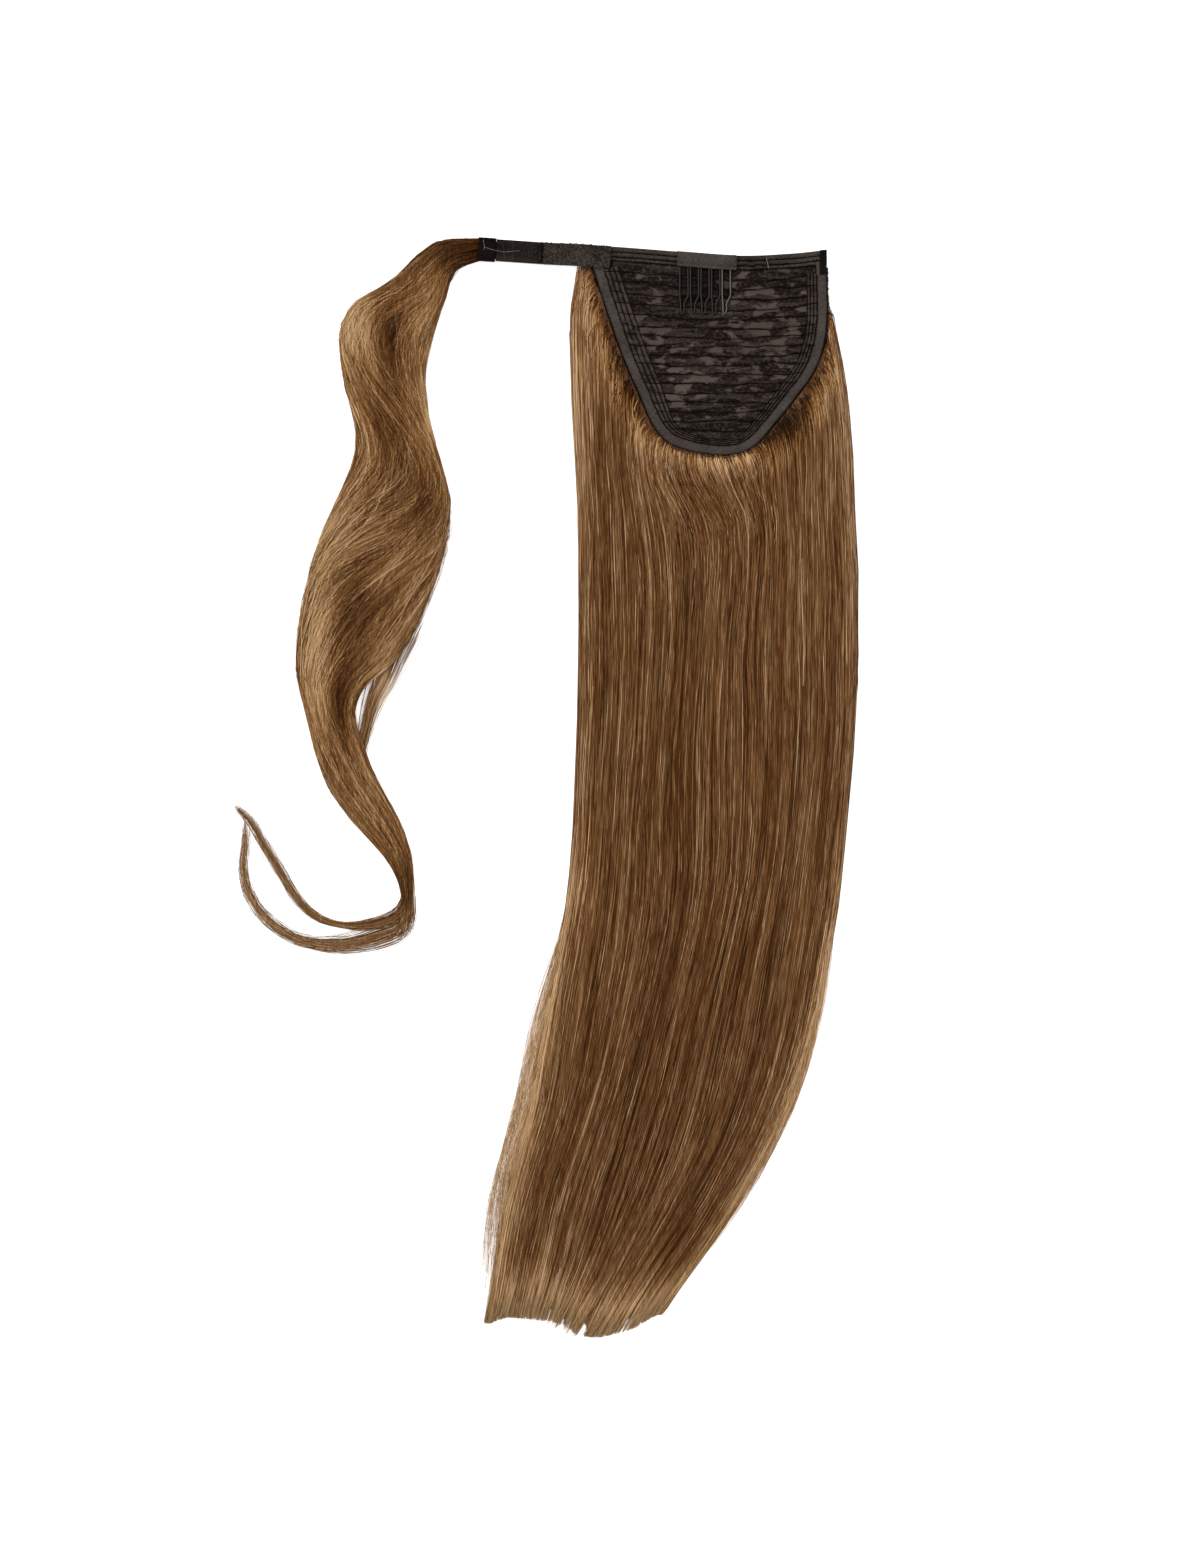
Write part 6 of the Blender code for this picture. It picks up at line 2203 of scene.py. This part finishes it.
    def build(self) -> None:
        """Build and dress the strap."""
        finishes = {
            "wrap_strap": Cloth.WEB, "loop_tape": Cloth.PILE, "hook_tape": Cloth.HOOKS,
            "strap_end_wrap": Cloth.BLACK,
        }
        for node, finish in finishes.items():
            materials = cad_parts[node].data.materials
            materials.clear()
            materials.append(material_of(finish))
        self.build_pile()
        self.build_hooks()
        self.build_seams()
        self.build_end()


FALL_GROUND = Ground("hair_fall")
PILE_GROUND = Ground("loop_tape")


@dataclass
class Studio:
    """Pale floor, soft lights and the camera straight above."""

    lens: float = 120.0
    sensor: float = 36.0
    floor_size: float = 8.0

    def build(self) -> None:
        """Make the floor, the lights and the camera."""
        deselect()
        bpy.ops.mesh.primitive_plane_add(size=self.floor_size, location=(0.0, 0.0, -0.0003))
        floor = bpy.context.object
        floor.name = "studio_floor"
        tree = Tree("studio_floor")
        tree.set(Base_Color=(0.80, 0.80, 0.80), Roughness=0.9)
        tree.set(Emission_Color=(1.0, 1.0, 1.0), Emission_Strength=0.55)
        floor.data.materials.append(tree.material)
        world = bpy.data.worlds.new("studio_world")
        world.use_nodes = True
        background = world.node_tree.nodes["Background"]
        background.inputs["Color"].default_value = (1.0, 1.0, 1.0, 1.0)
        background.inputs["Strength"].default_value = 0.55
        bpy.context.scene.world = world
        self.light("key", (-0.55, 0.75, 1.25), 0.9, 17.0)
        self.light("fill", (0.75, -0.15, 1.4), 1.1, 9.0)
        self.camera()
        bpy.context.scene.view_settings.view_transform = "Standard"

    def light(self, name: str, place: Triple, size: float, power: float) -> None:
        """Hang one soft light that faces the hairpiece.

        Args:
            name: Its name.
            place: Where it hangs.
            size: Its width.
            power: Its power in watts.
        """
        data = bpy.data.lights.new(name, "AREA")
        data.size = size
        data.energy = power
        light = bpy.data.objects.new(name, data)
        light.location = place
        light.rotation_euler = (-Vector(place)).to_track_quat("-Z", "Y").to_euler()
        bpy.context.scene.collection.objects.link(light)

    def camera(self) -> None:
        """Look straight down on the photo's frame."""
        data = bpy.data.cameras.new("camera")
        data.lens = self.lens
        data.sensor_width = self.sensor
        data.clip_end = 50.0
        camera = bpy.data.objects.new("camera", data)
        centre = from_photo(PHOTO_SIZE[0] / 2.0, PHOTO_SIZE[1] / 2.0)
        height = PHOTO_SIZE[1] * PIXEL * self.lens / self.sensor
        camera.location = (centre[0] + LAYOUT[0], centre[1] + LAYOUT[1], height)
        bpy.context.scene.collection.objects.link(camera)
        bpy.context.scene.camera = camera


def main() -> None:
    """Build the hairpiece's looks and its studio."""
    logging.basicConfig(level=logging.INFO, format="%(name)s %(message)s")
    for part in (Cap(), Strap(), WrapLock(), HairFall(), Studio()):
        part.build()
        LOG.info("%s is built", type(part).__name__)


if __name__ == "__main__":
    main()
